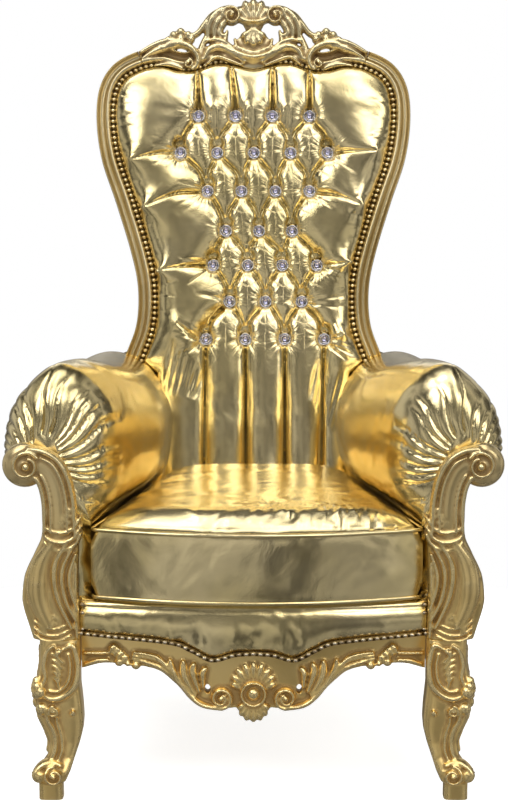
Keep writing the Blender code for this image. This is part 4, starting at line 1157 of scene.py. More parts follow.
def lay_folds(covering):
    """Holds the covering down at its buttons, and along folds between them, to the top, the sides and the seat."""
    rows = button_places()

    def near(amount):
        return rng.uniform(-amount, amount)

    for row in rows:
        for x, z in row:
            covering.hold(((x, z + 0.001), (x, z - 0.001)), even(0.0105, 0.0105), even(WELL_FLOOR, WELL_FLOOR))
    for upper, lower in zip(rows, rows[1:]):
        for u in upper:
            for v in lower:
                if abs(u[0] - v[0]) < FOLD_REACH:
                    aside, drop = v[0] - u[0], u[1] - v[1]
                    path = (u, (u[0] + aside * (0.42 + near(0.05)), u[1] - drop * 0.26),
                            (u[0] + aside * (0.82 + near(0.04)), u[1] - drop * (0.56 + near(0.05))), v)
                    covering.hold(path, even(0.0022, 0.0012, 0.0030),
                                  ((0, WELL_FLOOR + 0.001), (0.25, FOLD_LEVEL - 0.001), (0.6, FOLD_LEVEL),
                                   (1, WELL_FLOOR)))
        for x, z in lower:
            if any(abs(x - u[0]) < FOLD_REACH for u in upper):
                lean = near(0.002)
                covering.hold(((x, z + 0.008), (x + lean, z + 0.0165)), even(0.0060, 0.0105 + near(0.0015)),
                              even(WELL_FLOOR - 0.001, WELL_FLOOR + 0.0035))
    for i, (x, z) in enumerate(rows[0]):
        drift = (0.001, -0.003, 0.003, 0.003)[i]
        covering.hold(((x, z + 0.004), (x + drift * 0.3, z + 0.030), (x - 0.004 + drift * 1.5, z + 0.100)),
                      ((0, 0.0060), (0.25, 0.0026), (1, 0.0012)),
                      ((0, WELL_FLOOR + 0.001), (0.4, 0.0225), (1, PAD_RIM + 0.002)))
        if i < 3:
            covering.hold(((x + 0.027, z - 0.026), (x + 0.028, z + 0.012)), even(0.0016, 0.0010), even(0.029, 0.034))
    for i, (x, z) in enumerate(rows[-1]):
        foot = (-0.004, 0.001, 0.000, -0.006)[i]
        covering.hold(((x, z), (x + foot * 0.5, z - 0.110), (x + foot, 0.470)),
                      ((0, 0.0016), (0.3, 0.0008), (1, 0.0030 if i else 0.0008)),
                      ((0, WELL_FLOOR), (0.15, 0.0215), (1, 0.0230)), steps=4)
    for row, reach, fall, side in SIDE_FOLDS:
        x, z = rows[row][-1 if side > 0 else 0]
        covering.hold(((x, z), ((x + side * reach) / 2, z + fall * 0.3 + near(0.003)), (side * reach, z + fall)),
                      ((0, 0.0030), (0.3, 0.0010), (1, 0.0006)),
                      ((0, WELL_FLOOR + 0.002), (0.25, 0.0285), (0.55, 0.0385), (1, 0.0480)))


def small_creases(x, z):
    """Fine creases that run out from the buttons, and gathers along the sides."""
    height = np.zeros_like(x)
    for row in button_places():
        for bx, bz in row:
            for _ in range(9):
                angle = rng.uniform(0, 2 * math.pi)
                start = rng.uniform(0.010, 0.016)
                length = rng.uniform(0.012, 0.034)
                bend = rng.uniform(-0.3, 0.3)
                a = (bx + start * math.cos(angle), bz + start * math.sin(angle))
                b = (bx + (start + length) * math.cos(angle + bend), bz + (start + length) * math.sin(angle + bend))
                away, t = segment_distance(x, z, a, b)
                size = rng.uniform(0.0006, 0.0016) * (1 - t * 0.8)
                height += size * np.exp(-((away / rng.uniform(0.0018, 0.0030)) ** 2)) * rng.choice((-1.0, 1.0))
    return height


def side_gathers(x, z):
    """Fans of fine gathers that run in from the frame, and from the outer buttons towards it."""
    height = np.zeros_like(x)

    def gather(a, b, size, width, fades_in=False):
        nonlocal height
        away, t = segment_distance(x, z, a, b)
        along = np.sin(math.pi * t) if fades_in else (1 - t) ** 0.7
        height -= size * along * np.exp(-((away / width) ** 2))

    for side in (-1, 1):
        for k in range(6):
            if side > 0:
                a = (0.128 + 0.0115 * k, 0.694 - 0.0060 * k)
                b = (a[0] - 0.016 - 0.003 * k, a[1] - 0.085 - 0.006 * k)
            else:
                a = (-0.180 + 0.0125 * k, 0.622 - 0.002 * k)
                b = (a[0] + 0.024 - 0.001 * k, a[1] + 0.112 - 0.011 * k)
            gather(a, b, 0.0022 + rng.uniform(0, 0.0010), 0.0054, fades_in=True)
        for k in range(20):
            z0 = 0.79 + 0.022 * k + rng.uniform(-0.006, 0.006)
            x0 = side * (pad_width(z0) - 0.004)
            gather((x0, z0), (x0 - side * rng.uniform(0.015, 0.045), z0 + rng.uniform(-0.012, 0.012)),
                   rng.uniform(0.0006, 0.0016), rng.uniform(0.002, 0.0035))
    rows = button_places()
    for row in (1, 2, 4, 5, 6):
        for side, (bx, bz) in ((-1, rows[row][0]), (1, rows[row][-1])):
            for k in range(9):
                turn = rng.uniform(-0.95, 0.35)
                start, reach = rng.uniform(0.014, 0.024), rng.uniform(0.030, 0.075)
                gather((bx + side * start * math.cos(turn), bz + start * math.sin(turn)),
                       (bx + side * reach * math.cos(turn * 0.8), bz + reach * math.sin(turn * 0.8)),
                       rng.uniform(0.0008, 0.0020), rng.uniform(0.0022, 0.0040))
    return height


def mark_buttons(made):
    """Stores which way each point lies from its nearest button, and how hard that button draws it in."""
    count = len(made.data.vertices)
    places = np.empty(count * 3, np.float32)
    made.data.vertices.foreach_get("co", places)
    places = places.reshape(-1, 3)
    nearest = np.full(count, 9.0)
    around = np.zeros((count, 3))
    buttons = [on_back(x, z, PAD_THICKNESS) for row in button_places() for x, z in row]
    for n, button in enumerate(buttons):
        dx, dz = places[:, 0] - button.x, places[:, 2] - button.z
        away = np.hypot(dx, dz)
        closer = away < nearest
        around[closer] = np.stack([dx / np.maximum(away, 1e-5), dz / np.maximum(away, 1e-5), np.full(count, n * 1.7)],
                                  -1)[closer]
        nearest = np.minimum(nearest, away)
    drawn = np.exp(-((np.maximum(nearest - 0.012, 0) / 0.019) ** 2)) * rise((nearest - 0.008) / 0.004)
    made.data.attributes.new("around", "FLOAT_VECTOR", "POINT").data.foreach_set(
        "vector", around.astype(np.float32).ravel())
    made.data.attributes.new("drawn", "FLOAT", "POINT").data.foreach_set("value", drawn.astype(np.float32))


def make_back_pad():
    """The tufted inside back: a fine grid that follows the frame, pillowed between its folds."""
    crown = max(p.y for p in INSIDE)
    share = np.linspace(-1, 1, PAD_COLUMNS)
    share = np.sign(share) * (1 - (1 - np.abs(share)) ** 1.12)
    corner = max(range(len(INSIDE_RIGHT)), key=lambda i: INSIDE_RIGHT[i].x)
    upper = INSIDE_RIGHT[corner:]
    # Columns run up lines of even share, rows are curved to the top edge above the corner.
    grid = np.zeros((PAD_ROWS, PAD_COLUMNS, 2))
    corner_z = INSIDE_RIGHT[corner].y
    rounds = len(upper)
    split = (corner_z - PAD_FOOT) / (crown - PAD_FOOT) * 0.94
    for j, z in enumerate(np.linspace(0, 1, PAD_ROWS)):
        if z <= split:
            height = PAD_FOOT + (corner_z - PAD_FOOT) * z / split
            grid[j, :, 0] = share * pad_width(height)
            grid[j, :, 1] = height
        else:
            t = (z - split) / (1 - split)
            at = t * 0.42 * (rounds - 1)
            i = min(int(at), rounds - 2)
            edge = upper[i].lerp(upper[i + 1], at - i)
            xs = share * edge.x
            tops = np.array([top_edge(abs(v)) for v in xs])
            grid[j, :, 0] = xs
            grid[j, :, 1] = edge.y + (tops - edge.y) * (t * (1 - np.abs(share) ** 3))
    x, z = grid[..., 0], grid[..., 1]
    covering = Covering()
    lay_folds(covering)
    covering.settle()
    out = covering.at(x, z)
    inside = np.minimum(pad_width_table(z) - np.abs(x), 0.05)
    out = out + (small_creases(x, z) + side_gathers(x, z)) * (0.2 + 0.8 * rise(inside / 0.012))
    out = np.clip(out, 0.003, PAD_THICKNESS + PAD_BULGE)
    front = np.stack([x, back_plane(z) - out * math.cos(LEAN), z + out * math.sin(LEAN)], -1)
    deep = -PAD_BEHIND + 0.001
    back = np.stack([x, back_plane(z) - deep * math.cos(LEAN), z + deep * math.sin(LEAN)], -1)
    pad = sheet_piece("tufted_back", front, back, FINISH["leather"])
    mark_buttons(pad)
    upholstery(pad, "back_pad", rounds=8, scale=0.7)


def pad_width_table(z):
    """Half width of the inside back at many heights."""
    levels = np.linspace(PAD_FOOT, max(p.y for p in INSIDE), 200)
    return np.interp(z, levels, [pad_width(level) for level in levels])


def top_edge(x):
    """Height of the frame's inner edge over a distance from the middle."""
    for a, b in zip(INSIDE_RIGHT[::-1], INSIDE_RIGHT[-2::-1]):
        if a.x <= x <= b.x:
            return a.y + (b.y - a.y) * (x - a.x) / max(1e-9, b.x - a.x)
    return INSIDE_RIGHT[len(INSIDE_RIGHT) * 3 // 4].y


def cushion_side(y):
    """Half width of the seat cushion at a place from front to back."""
    start = FRONT + CUSHION_BOW
    end = back_plane(DECK_TOP) - PAD_THICKNESS
    share = min(1.0, max(0.0, (y - start) / (end - start)))
    return CUSHION_FRONT_HALF_WIDTH + (CUSHION_BACK_HALF_WIDTH - CUSHION_FRONT_HALF_WIDTH) * share


def arm_section(inner_low, inner, outer, panel, top):
    """Section of an upholstered arm: seat side, roll and outside panel, as distance out and height."""
    seat, roll = SEAT_LEVEL, SCROLL_HEIGHT
    return [
        (inner_low, FRAME_TOP + JOINT), (inner_low, seat - 0.03), (inner_low - 0.001, seat + 0.002),
        (inner + (inner_low - inner) * 0.40, seat + 0.035),
        (inner, seat + 0.10), (inner + 0.012, top - 0.085), (inner + 0.050, top - 0.025),
        ((inner + outer) / 2, top), (outer - 0.060, top - 0.022), (outer - 0.016, top - 0.075), (outer, roll + 0.020),
        (outer - 0.010, roll - 0.018), (outer - 0.040, roll - 0.042), (panel, roll - 0.054), (panel, roll - 0.10),
        (panel, FRAME_TOP + JOINT),
    ]


# Gathers at the arm scrolls: how many, how deep, how long, and how far back the fine rings for them go.
PLEATS = 29
PLEAT_DEPTH = 0.0105
PLEAT_LENGTHS = (0.045, 0.100)
GATHERED_FOR = 0.105

# From here back, measured from its front, an arm turns to meet the leaning back.
ARM_STRAIGHT_FOR = 0.30


def make_arm(side, word, spare, inward):
    """A padded arm, gathered into pleats round the arm scroll; spare is its distance from the cushion."""
    start = FRONT + POST_SETBACK + POST_THICKNESS + JOINT
    end = BACK_AT
    front_panel = POST_INNER + 0.038
    keys = (
        (start, 0.262, ARM_HALF_WIDTH, front_panel, ARM_TOP),
        (start + 0.030, 0.246, ARM_HALF_WIDTH, front_panel, ARM_TOP),
        (start + 0.075, 0.236, ARM_HALF_WIDTH, front_panel, ARM_TOP),
        (start + 0.190, 0.196, ARM_HALF_WIDTH - 0.010, front_panel + 0.002, ARM_TOP - 0.008),
        (start + 0.310, 0.166, REAR_ROLL_HALF_WIDTH + 0.014, REAR_PANEL_HALF_WIDTH - 0.002, ARM_REAR_TOP + 0.022),
        (end, 0.158, REAR_ROLL_HALF_WIDTH, REAR_PANEL_HALF_WIDTH, ARM_REAR_TOP),
    )
    curve = smooth_curve([Vector(k) for k in keys], 24)
    ys = np.array([p[0] for p in curve])
    reach = np.concatenate([np.linspace(0, 1, 60) ** 1.6 * GATHERED_FOR,
                            np.linspace(GATHERED_FOR, end - start, 56)[1:]])
    centre = Vector((SCROLL_FROM_MIDDLE - 0.025, SCROLL_HEIGHT))
    eye = Vector((SCROLL_FROM_MIDDLE - 0.020, SCROLL_HEIGHT - 0.010))
    phases = np.cumsum(rng.uniform(0.55, 1.45, PLEATS))
    phases = phases / phases[-1]
    lengths = rng.uniform(*PLEAT_LENGTHS, PLEATS)
    depths = rng.uniform(0.45, 1.0, PLEATS) * PLEAT_DEPTH
    rings, sinks = [], []
    for n, ahead in enumerate(reach):
        y = start + ahead
        inner, outer, panel, high = (float(np.interp(y, ys, [p[k] for p in curve])) for k in (1, 2, 3, 4))
        low = cushion_side(y) + spare
        points = arm_section(max(low, inner - inward * 0.5), inner, outer, panel, high)
        line = smooth_curve([Vector(p) for p in points], 16)
        swell = 0.30 + 0.70 * math.sqrt(max(0.0, 1 - (1 - min(1.0, ahead / 0.080)) ** 2))
        ring, sink = [], []
        for point in line:
            lift = float(rise((point.y - SEAT_LEVEL + 0.002) / 0.05))
            held = centre + (point - centre) * (1 + (swell - 1) * lift)
            radial = held - eye
            away = math.hypot(radial.length, ahead)
            turn = math.atan2(radial.y, radial.x) / (2 * math.pi) + 0.5 + 0.006 * math.sin(away * 60)
            k = int(np.searchsorted(phases, turn % 1.0)) % PLEATS
            before = phases[k - 1] if k > 0 else 0.0
            wave = (turn % 1.0 - before) / max(1e-6, phases[k] - before)
            ridge = math.sqrt(max(0.0, 1 - (2 * wave - 1) ** 2))
            fade = math.exp(-((max(0.0, away - 0.062) / lengths[k]) ** 2)) * (0.35 + 0.65 * lift)
            if point.y < FRAME_TOP + 0.010 or (point.x > panel - 0.002 and point.y < SCROLL_HEIGHT - 0.05):
                fade = 0.0
            place = y
            if ahead > ARM_STRAIGHT_FOR:
                slope = (ahead - ARM_STRAIGHT_FOR) / (end - start - ARM_STRAIGHT_FOR)
                place = y + slope * (back_plane(held.y) + PAD_BEHIND / math.cos(LEAN) - end)
            ring.append((side * held.x, place + 0.0004, held.y))
            sink.append(depths[k] * (1 - ridge) * fade if 0 < n < len(reach) - 1 else 0.0)
        rings.append(ring)
        sinks.append(sink)
    rings = np.array(rings)
    along = np.gradient(rings, axis=0)
    round_it = np.roll(rings, -1, axis=1) - np.roll(rings, 1, axis=1)
    facing = np.cross(round_it, along) * side
    facing /= np.maximum(np.linalg.norm(facing, axis=2, keepdims=True), 1e-9)
    rings = rings - facing * np.array(sinks)[..., None]
    arm = ring_piece(f"gathered_arm_{word}", rings, FINISH["leather"])
    upholstery(arm, f"arm_pad_{word}", rounds=6, scale=0.8)


def make_arms():
    make_arm(1, "right", CUSHION_SHIFT + SEAT_CLEARANCE, 0.0)
    make_arm(-1, "left", SEAT_CLEARANCE, 0.010)


CUSHION_SPREAD = 1.028
CUSHION_BASE = DECK_TOP + JOINT
CUSHION_TOP = CUSHION_BASE + CUSHION_THICKNESS
CUSHION_BACK = back_plane(CUSHION_BASE) - PAD_THICKNESS - SEAT_CLEARANCE
LAP_WRINKLES = 120
LID_FOLDS = 16
FACE_BUCKLES = 12


def cushion_face(share):
    """Distance along Y of the cushion's front, which bows forward in the middle."""
    return FRONT + CUSHION_BOW * share * share


def make_cushion():
    """The loose cushion: boxed, crowned, with wrinkles where it has been sat on."""
    rings = []
    soft, back = CUSHION_EDGE, CUSHION_BACK
    middle = (CUSHION_BASE + CUSHION_TOP) / 2
    shares = np.linspace(-1, 1, 150)
    shares = np.sign(shares) * (1 - (1 - np.abs(shares)) ** 1.25)
    for share in shares:
        face = cushion_face(share)
        lid = 1 - abs(share) ** 6.0
        squeeze = 1 - 0.35 * math.exp(-(((1 - abs(share)) / 0.028) ** 2))
        half = (CUSHION_TOP - CUSHION_BASE) / 2 * squeeze
        outline = []
        for t in np.linspace(0, 1, 26):
            a = -math.pi / 2 + math.pi * t
            outline.append((face + soft * (1 - abs(math.cos(a)) ** 0.35), middle + half * power(math.sin(a), 0.55),
                            0.0))
        for t in np.linspace(0, 1, 90)[1:-1]:
            y = face + soft + (back - face - 2 * soft) * t
            front_fall = math.sin(math.pi / 2 * min(1.0, t / 0.11)) ** 0.9
            back_fall = math.sqrt(max(0.0, 1 - max(0.0, 1 - (1 - t) / 0.10) ** 2))
            outline.append((y, middle + half, (0.92 + 0.08 * math.sin(math.pi * t)) * front_fall * back_fall))
        for t in np.linspace(0, 1, 14):
            a = math.pi / 2 - math.pi * t
            outline.append((back - soft * (1 - abs(math.cos(a)) ** 0.4), middle + half * power(math.sin(a), 0.6),
                            0.0))
        for t in np.linspace(0, 1, 30)[1:-1]:
            outline.append((back - soft + (face - back + 2 * soft) * t, middle - half, 0.0))
        ring = []
        for y, z, lift in outline:
            wide = cushion_side(y) * share
            ring.append((CUSHION_SHIFT + wide * (1 if share > 0 else CUSHION_SPREAD), y,
                         z + (CUSHION_RISE + CUSHION_CROWN + 0.009) * lid * lift))
        rings.append(ring)
    points = np.array(rings)
    x, y, z = points[..., 0], points[..., 1], points[..., 2]
    on_top = rise((z - (SEAT_LEVEL - 0.012)) / 0.010) * rise((y - (FRONT + 0.02)) / 0.02)
    dip, buckle = np.zeros_like(x), np.zeros_like(x)

    def wrinkle(height, a, b, sizes, widths):
        away, _ = segment_distance(x, height, a, b)
        return rng.uniform(*sizes) * np.exp(-((away / rng.uniform(*widths)) ** 2)) * rng.choice((-1, 1))

    for _ in range(LAP_WRINKLES):
        cx = rng.normal(0.085, 0.075)
        cy = FRONT + 0.018 + abs(rng.normal(0.0, 0.040))
        angle = rng.normal(1.2, 0.5)
        length = rng.uniform(0.010, 0.040)
        a = (cx - math.cos(angle) * length / 2, cy - math.sin(angle) * length / 2)
        b = (cx + math.cos(angle) * length / 2, cy + math.sin(angle) * length / 2)
        dip += wrinkle(y, a, b, (0.0006, 0.0020), (0.0018, 0.0040))
    for _ in range(LID_FOLDS):
        cx, cy = rng.uniform(-0.22, 0.24), rng.uniform(FRONT + 0.08, 0.08)
        b = (cx + rng.uniform(-0.09, 0.09), cy + rng.uniform(-0.02, 0.05))
        dip += wrinkle(y, (cx, cy), b, (0.0008, 0.0024), (0.008, 0.020))
    points[..., 2] += dip * on_top
    in_front = (rise((FRONT + 0.075 - y) / 0.01) * rise((z - DECK_TOP - 0.006) / 0.01)
                * rise((SEAT_LEVEL + 0.008 - z) / 0.01))
    for _ in range(FACE_BUCKLES):
        cx, cz = rng.uniform(-0.26, 0.27), rng.uniform(DECK_TOP + 0.02, SEAT_LEVEL - 0.01)
        b = (cx + rng.uniform(-0.05, 0.05), cz + rng.uniform(-0.03, 0.03))
        buckle += wrinkle(z, (cx, cz), b, (0.0006, 0.0016), (0.010, 0.024))
    points[..., 1] += (buckle + 0.0012) * in_front
    cushion = ring_piece("loose_cushion", points, FINISH["leather"])
    upholstery(cushion, "seat_cushion", rounds=4, scale=0.6)


def make_deck():
    """The upholstered deck, with a soft border that comes down over the front rail."""
    half = POST_INNER - JOINT * 2
    stop = back_plane(DECK_BASE) - (PAD_THICKNESS + 0.012) / math.cos(LEAN)
    turn = FRONT + POST_SETBACK + POST_THICKNESS - JOINT * 2
    wide = [min(1.0, (cushion_side(y) + CUSHION_SHIFT) / half) for y in (turn, stop)]
    rings = []
    for x in np.linspace(-half, half, 150):
        low = between(RAIL_EDGE, abs(x)) + JOINT
        face = rail_face(x)
        behind = min(face + RAIL_THICKNESS, turn - 0.002)
        ring = []
        for t in np.linspace(0, 1, 22):
            bulge = 0.0085 * math.sin(math.pi * t) ** 0.7
            ring.append((x, face + 0.002 - bulge, low + (DECK_TOP - 0.014 - low) * t))
        for t in np.linspace(0, 1, 7)[1:]:
            a = math.pi / 2 * t
            ring.append((x, face + 0.002 + 0.014 * (1 - math.cos(a)), DECK_TOP - 0.014 + 0.014 * math.sin(a)))
        ring += [(x, turn, DECK_TOP), (x * wide[0], turn + JOINT, DECK_TOP), (x * wide[1], stop, DECK_TOP),
                 (x * wide[1], stop, DECK_BASE), (x * wide[0], turn + JOINT, DECK_BASE), (x, turn, DECK_BASE),
                 (x, behind, DECK_BASE), (x, behind - 0.001, low)]
        rings.append(ring)
    points = np.array(rings)
    x, y, z = points[..., 0], points[..., 1], points[..., 2]
    front = rise((rail_face(x) + 0.004 - y) / 0.004)
    pucker = np.zeros_like(x)
    for _ in range(14):
        cx = rng.uniform(-0.27, 0.27)
        lean = rng.uniform(-0.03, 0.03)
        away, t = segment_distance(x, z, (cx, 0.285), (cx + lean, rng.uniform(0.315, 0.34)))
        depth = rng.uniform(0.0006, 0.0020) * (1 - t)
        pucker += depth * np.exp(-((away / rng.uniform(0.006, 0.014)) ** 2)) * rng.choice((-1, 1))
    points[..., 1] += pucker * front
    bm = bmesh.new()
    count = points.shape[1]
    tail = list(range(count - 8, count))
    front_cap = [*range(count - 8), tail[0], tail[5], tail[6], tail[7]]
    skin(bm, [[tuple(p) for p in ring] for ring in points],
         (front_cap, (tail[0], tail[1], tail[4], tail[5]), (tail[1], tail[2], tail[3], tail[4])))
    deck = from_bmesh("seat_platform", bm, FINISH["leather"])
    upholstery(deck, "seat_deck", rounds=4, scale=0.6)


def outside_outline():
    """Outline of the outside back, from its lower right corner up round to the top middle."""
    outer, panel, top, roll = REAR_ROLL_HALF_WIDTH, REAR_PANEL_HALF_WIDTH, ARM_REAR_TOP, SCROLL_HEIGHT
    inset = 0.006
    base = FRAME_TOP + JOINT + (PAD_BEHIND + OUTER_BACK_THICKNESS) * math.sin(LEAN)
    right = [tuple(p) for p in INSIDE_RIGHT]
    lower = smooth_curve((
        (panel - inset, roll - 0.10), (panel - inset, roll - 0.060), (outer - 0.040, roll - 0.042 + inset),
        (outer - inset * 2, roll - 0.010), (outer - inset, roll + 0.020), (outer - 0.020, top - 0.078),
        (outer - 0.064, top - 0.028), (right[0][0] + FRAME_FACE, top - 0.020), (right[0][0], top - 0.022)), 6)
    return [(panel - inset, base), (panel - inset, base + 0.1), *(tuple(p) for p in lower),
            *(p for p in right if p[1] > top)]


def make_outer_back():
    """The plain outside back: a tight, slightly domed panel."""
    right = outside_outline()
    outline = right + [(-x, z) for x, z in right[::-1] if x > 1e-6]
    inner = -PAD_BEHIND - JOINT
    middle = Vector((0, 0.80))
    steps = (1.0, 0.995, 0.985, 0.97, 0.94, 0.90, 0.84, 0.75, 0.6, 0.4, 0.2, 0.04)
    rings = [[on_back(u, v, inner) for u, v in outline], [on_back(u, v, inner - 0.004) for u, v in outline]]
    for scale in steps:
        dome = 0.004 + (OUTER_BACK_THICKNESS - 0.004) * math.sqrt(max(0.0, 1 - (max(0.0, scale - 0.90) / 0.10) ** 2))
        rings.append([on_back(middle.x + (u - middle.x) * scale, middle.y + (v - middle.y) * scale, inner - dome)
                      for u, v in outline])
    bm = bmesh.new()
    skin(bm, rings)
    back = from_bmesh("outside_back", bm, FINISH["leather"])
    upholstery(back, "outer_back", rounds=3, scale=0.5)


# Trim.


def studded(name, paths, pitch, radius, height, facing, finish):
    """Domed nailheads set at an even pitch along paths, by a small node tree."""
    mesh = bpy.data.meshes.new(name)
    points, edges = [], []
    for path in paths:
        start = len(points)
        points += [tuple(p) for p in path]
        edges += [(start + i, start + i + 1) for i in range(len(path) - 1)]
    mesh.from_pydata(points, edges, [])
    layer = mesh.attributes.new("tilt", "FLOAT_VECTOR", "POINT")
    layer.data.foreach_set("vector", facing * len(points))
    made = bpy.data.objects.new(name, mesh)
    bpy.context.scene.collection.objects.link(made)

    tree = bpy.data.node_groups.new(name + "_row", "GeometryNodeTree")
    tree.interface.new_socket("Geometry", in_out="INPUT", socket_type="NodeSocketGeometry")
    sizes = {}
    for label, value in (("Pitch", pitch), ("Radius", radius), ("Height", height)):
        socket = tree.interface.new_socket(label, in_out="INPUT", socket_type="NodeSocketFloat")
        sizes[socket.identifier] = value
    tree.interface.new_socket("Geometry", in_out="OUTPUT", socket_type="NodeSocketGeometry")
    given, result, curve, spaced, dome, size, squash, copies, tilt, real, smooth, coat = map(tree.nodes.new, (
        "NodeGroupInput", "NodeGroupOutput", "GeometryNodeMeshToCurve", "GeometryNodeResampleCurve",
        "GeometryNodeMeshUVSphere", "ShaderNodeCombineXYZ", "GeometryNodeTransform", "GeometryNodeInstanceOnPoints",
        "GeometryNodeInputNamedAttribute", "GeometryNodeRealizeInstances", "GeometryNodeSetShadeSmooth",
        "GeometryNodeSetMaterial"))
    spaced.mode = "LENGTH"
    tilt.data_type = "FLOAT_VECTOR"
    for node, key, value in ((dome, "Segments", 12), (dome, "Rings", 6), (dome, "Radius", 1.0),
                             (tilt, "Name", "tilt"), (coat, "Material", finish)):
        node.inputs[key].default_value = value
    for giver, output, taker, entry in (
            (given, "Geometry", curve, "Mesh"), (curve, "Curve", spaced, "Curve"),
            (given, "Pitch", spaced, "Length"), (given, "Radius", size, "X"), (given, "Radius", size, "Y"),
            (given, "Height", size, "Z"), (dome, "Mesh", squash, "Geometry"), (size, "Vector", squash, "Scale"),
            (spaced, "Curve", copies, "Points"), (squash, "Geometry", copies, "Instance"),
            (tilt, "Attribute", copies, "Rotation"),
            (copies, "Instances", real, "Geometry"), (real, "Geometry", smooth, "Geometry"),
            (smooth, "Geometry", coat, "Geometry"), (coat, "Geometry", result, "Geometry")):
        tree.links.new(giver.outputs[output], taker.inputs[entry])
    modifier = made.modifiers.new("row", "NODES")
    modifier.node_group = tree
    for identifier, value in sizes.items():
        modifier[identifier] = value
    settle(made)
    return made


FACING_FRONT = (math.radians(90), 0.0, 0.0)
FACING_BACK_LEAN = (math.radians(90) - LEAN, 0.0, 0.0)


def make_nailheads():
    """Nailheads along the front rail and up beside the posts, and beads in the back frame."""
    rail = [(x, rail_face(x) - NAILS_AHEAD, z + NAILS_ABOVE) for x, z in
            [(-x, z) for x, z in RAIL_EDGE[:0:-1]] + RAIL_EDGE]
    corner = [[(side * POST_NAILS_AT, rail_face(POST_NAILS_AT) - 0.001, z) for z in (0.300, 0.344)]
              for side in (-1, 1)]
    studs = studded("rail_nailheads", [rail, *corner], STUD_PITCH, STUD_RADIUS, STUD_HEIGHT, FACING_FRONT,
                    FINISH["studs"])
    rides(studs, "gilt_wood")

    # Painted shade: a near-black tube behind the rail's nailheads stands for the shade between and under them.
    bm = bmesh.new()
    tube(bm, [Vector((x, y + 0.0025, z)) for x, y, z in rail], STUD_RADIUS * 0.82)
    shadow_strip = from_bmesh("nail_strip", bm, FINISH["shadow_strip"])
    rides(shadow_strip, "gilt_wood")

    edge = inner_edge(-0.0040)
    line = [on_back(p.x, p.y, 0.0165) for p in edge]
    beads = studded("frame_beads", [line], BEAD_PITCH, BEAD_RADIUS, BEAD_RADIUS * 0.8, FACING_BACK_LEAN,
                    FINISH["beads"])
    rides(beads, "gilt_wood")


def tube(bm, path, radius, sides=10):
    """A round tube along a path in space, closed at its ends."""
    rings = []
    up = Vector((0, 0, 1))
    for i, point in enumerate(path):
        along = heading(path, i).normalized()
        first = along.cross(up).normalized()
        second = first.cross(along).normalized()
        rings.append([point + first * radius * math.cos(a) + second * radius * math.sin(a) for a in turns(sides)])
    skin(bm, rings)


def make_bead_shadow_band():
    """A near-black band under the beads of the back frame: painted shade for the gap between frame and pad."""
    outside = inner_edge(-0.0080)
    inside = inner_edge(0.0012)
    bm = bmesh.new()
    rings = []
    for a, b in zip(outside, inside):
        section = ((0.0, 0.010), (0.0, 0.0152), (0.5, 0.0160), (1.0, 0.0170), (1.0, 0.010))
        rings.append([on_back(*a.lerp(b, share), out) for share, out in section])
    skin(bm, rings)
    band = from_bmesh("back_gimp", bm, FINISH["shadow_strip"])
    rides(band, "gilt_wood")


def make_piping():
    """Welts round the top and bottom edges of the loose cushion."""
    bm = bmesh.new()
    for height in (CUSHION_TOP - 0.0040, CUSHION_BASE + 0.0050):
        path = []
        for share in np.linspace(-0.985, 0.985, 110):
            y = cushion_face(share) + CUSHION_EDGE * 0.45
            spread = 1 if share > 0 else CUSHION_SPREAD
            path.append(Vector((CUSHION_SHIFT + cushion_side(y) * share * spread, y - 0.002, height)))
        right, left = [], []
        for t in np.linspace(0, 1, 60)[1:]:
            face = cushion_face(1.0)
            y = face + CUSHION_EDGE * 0.45 + (CUSHION_BACK - face - CUSHION_EDGE) * t
            right.append(Vector((CUSHION_SHIFT + cushion_side(y), y, height)))
            left.append(Vector((CUSHION_SHIFT - cushion_side(y) * CUSHION_SPREAD, y, height)))
        tube(bm, left[::-1] + path + right, WELT_RADIUS)
    welts = from_bmesh("cushion_piping", bm, FINISH["leather"])
    mark_cavities(welts, rounds=1, scale=0.3)
    rides(welts, "gold_leather")


def make_crystals():
    """Cut crystals in silver cups, one at each tuft."""
    gems, cups = bmesh.new(), bmesh.new()
    for row in button_places():
        for x, z in row:
            def at(radius, turn, out):
                return on_back(x + radius * math.cos(turn), z + radius * math.sin(turn), WELL_FLOOR + out)

            sides = 8
            levels = ((0.15, 0.0010), (0.80, 0.0042), (0.84, 0.0050), (0.56, 0.0088))
            rings = []
            for n, (share, out) in enumerate(levels):
                shift = 0.5 if n == 3 else 0.0
                rings.append([at(BUTTON_RADIUS * share, 2 * math.pi * (k + shift) / sides, out)
                              for k in range(sides)])
            skin(gems, rings)
            cup = ((0.0, 0.0004), (0.70, 0.0008), (0.80, 0.0030), (0.88, 0.0050), (0.95, 0.0056), (1.00, 0.0048),
                   (1.00, 0.0020), (0.80, -0.0016))
            rings = [[at(BUTTON_RADIUS * max(share, 0.05), 2 * math.pi * k / 24, out) for k in range(24)]
                     for share, out in cup]
            skin(cups, rings)
    names = [f"crystal_button_{i:02d}" for i in range(1, 28)]
    stones = from_bmesh("tuft_crystals", gems, FINISH["crystal"])
    stones.data.shade_flat()
    rides(stones, "crystal", *names)
    holders = from_bmesh("tuft_cups", cups, FINISH["cup"])
    rides(holders, "crystal")


# Rear legs: how wide at top and foot, how far from the middle, how far they turn out and back, and their swell.
REAR_LEG_WIDTHS = (0.050, 0.038)
REAR_LEG_FROM_MIDDLE = 0.348
REAR_LEG_OUT = 0.028
REAR_LEG_BACK = 0.135
REAR_LEG_SWELL = ((0.0, 1.0), (0.14, 1.04), (0.30, 1.10), (0.48, 0.96), (0.66, 0.84), (0.84, 0.78), (1.0, 0.84))


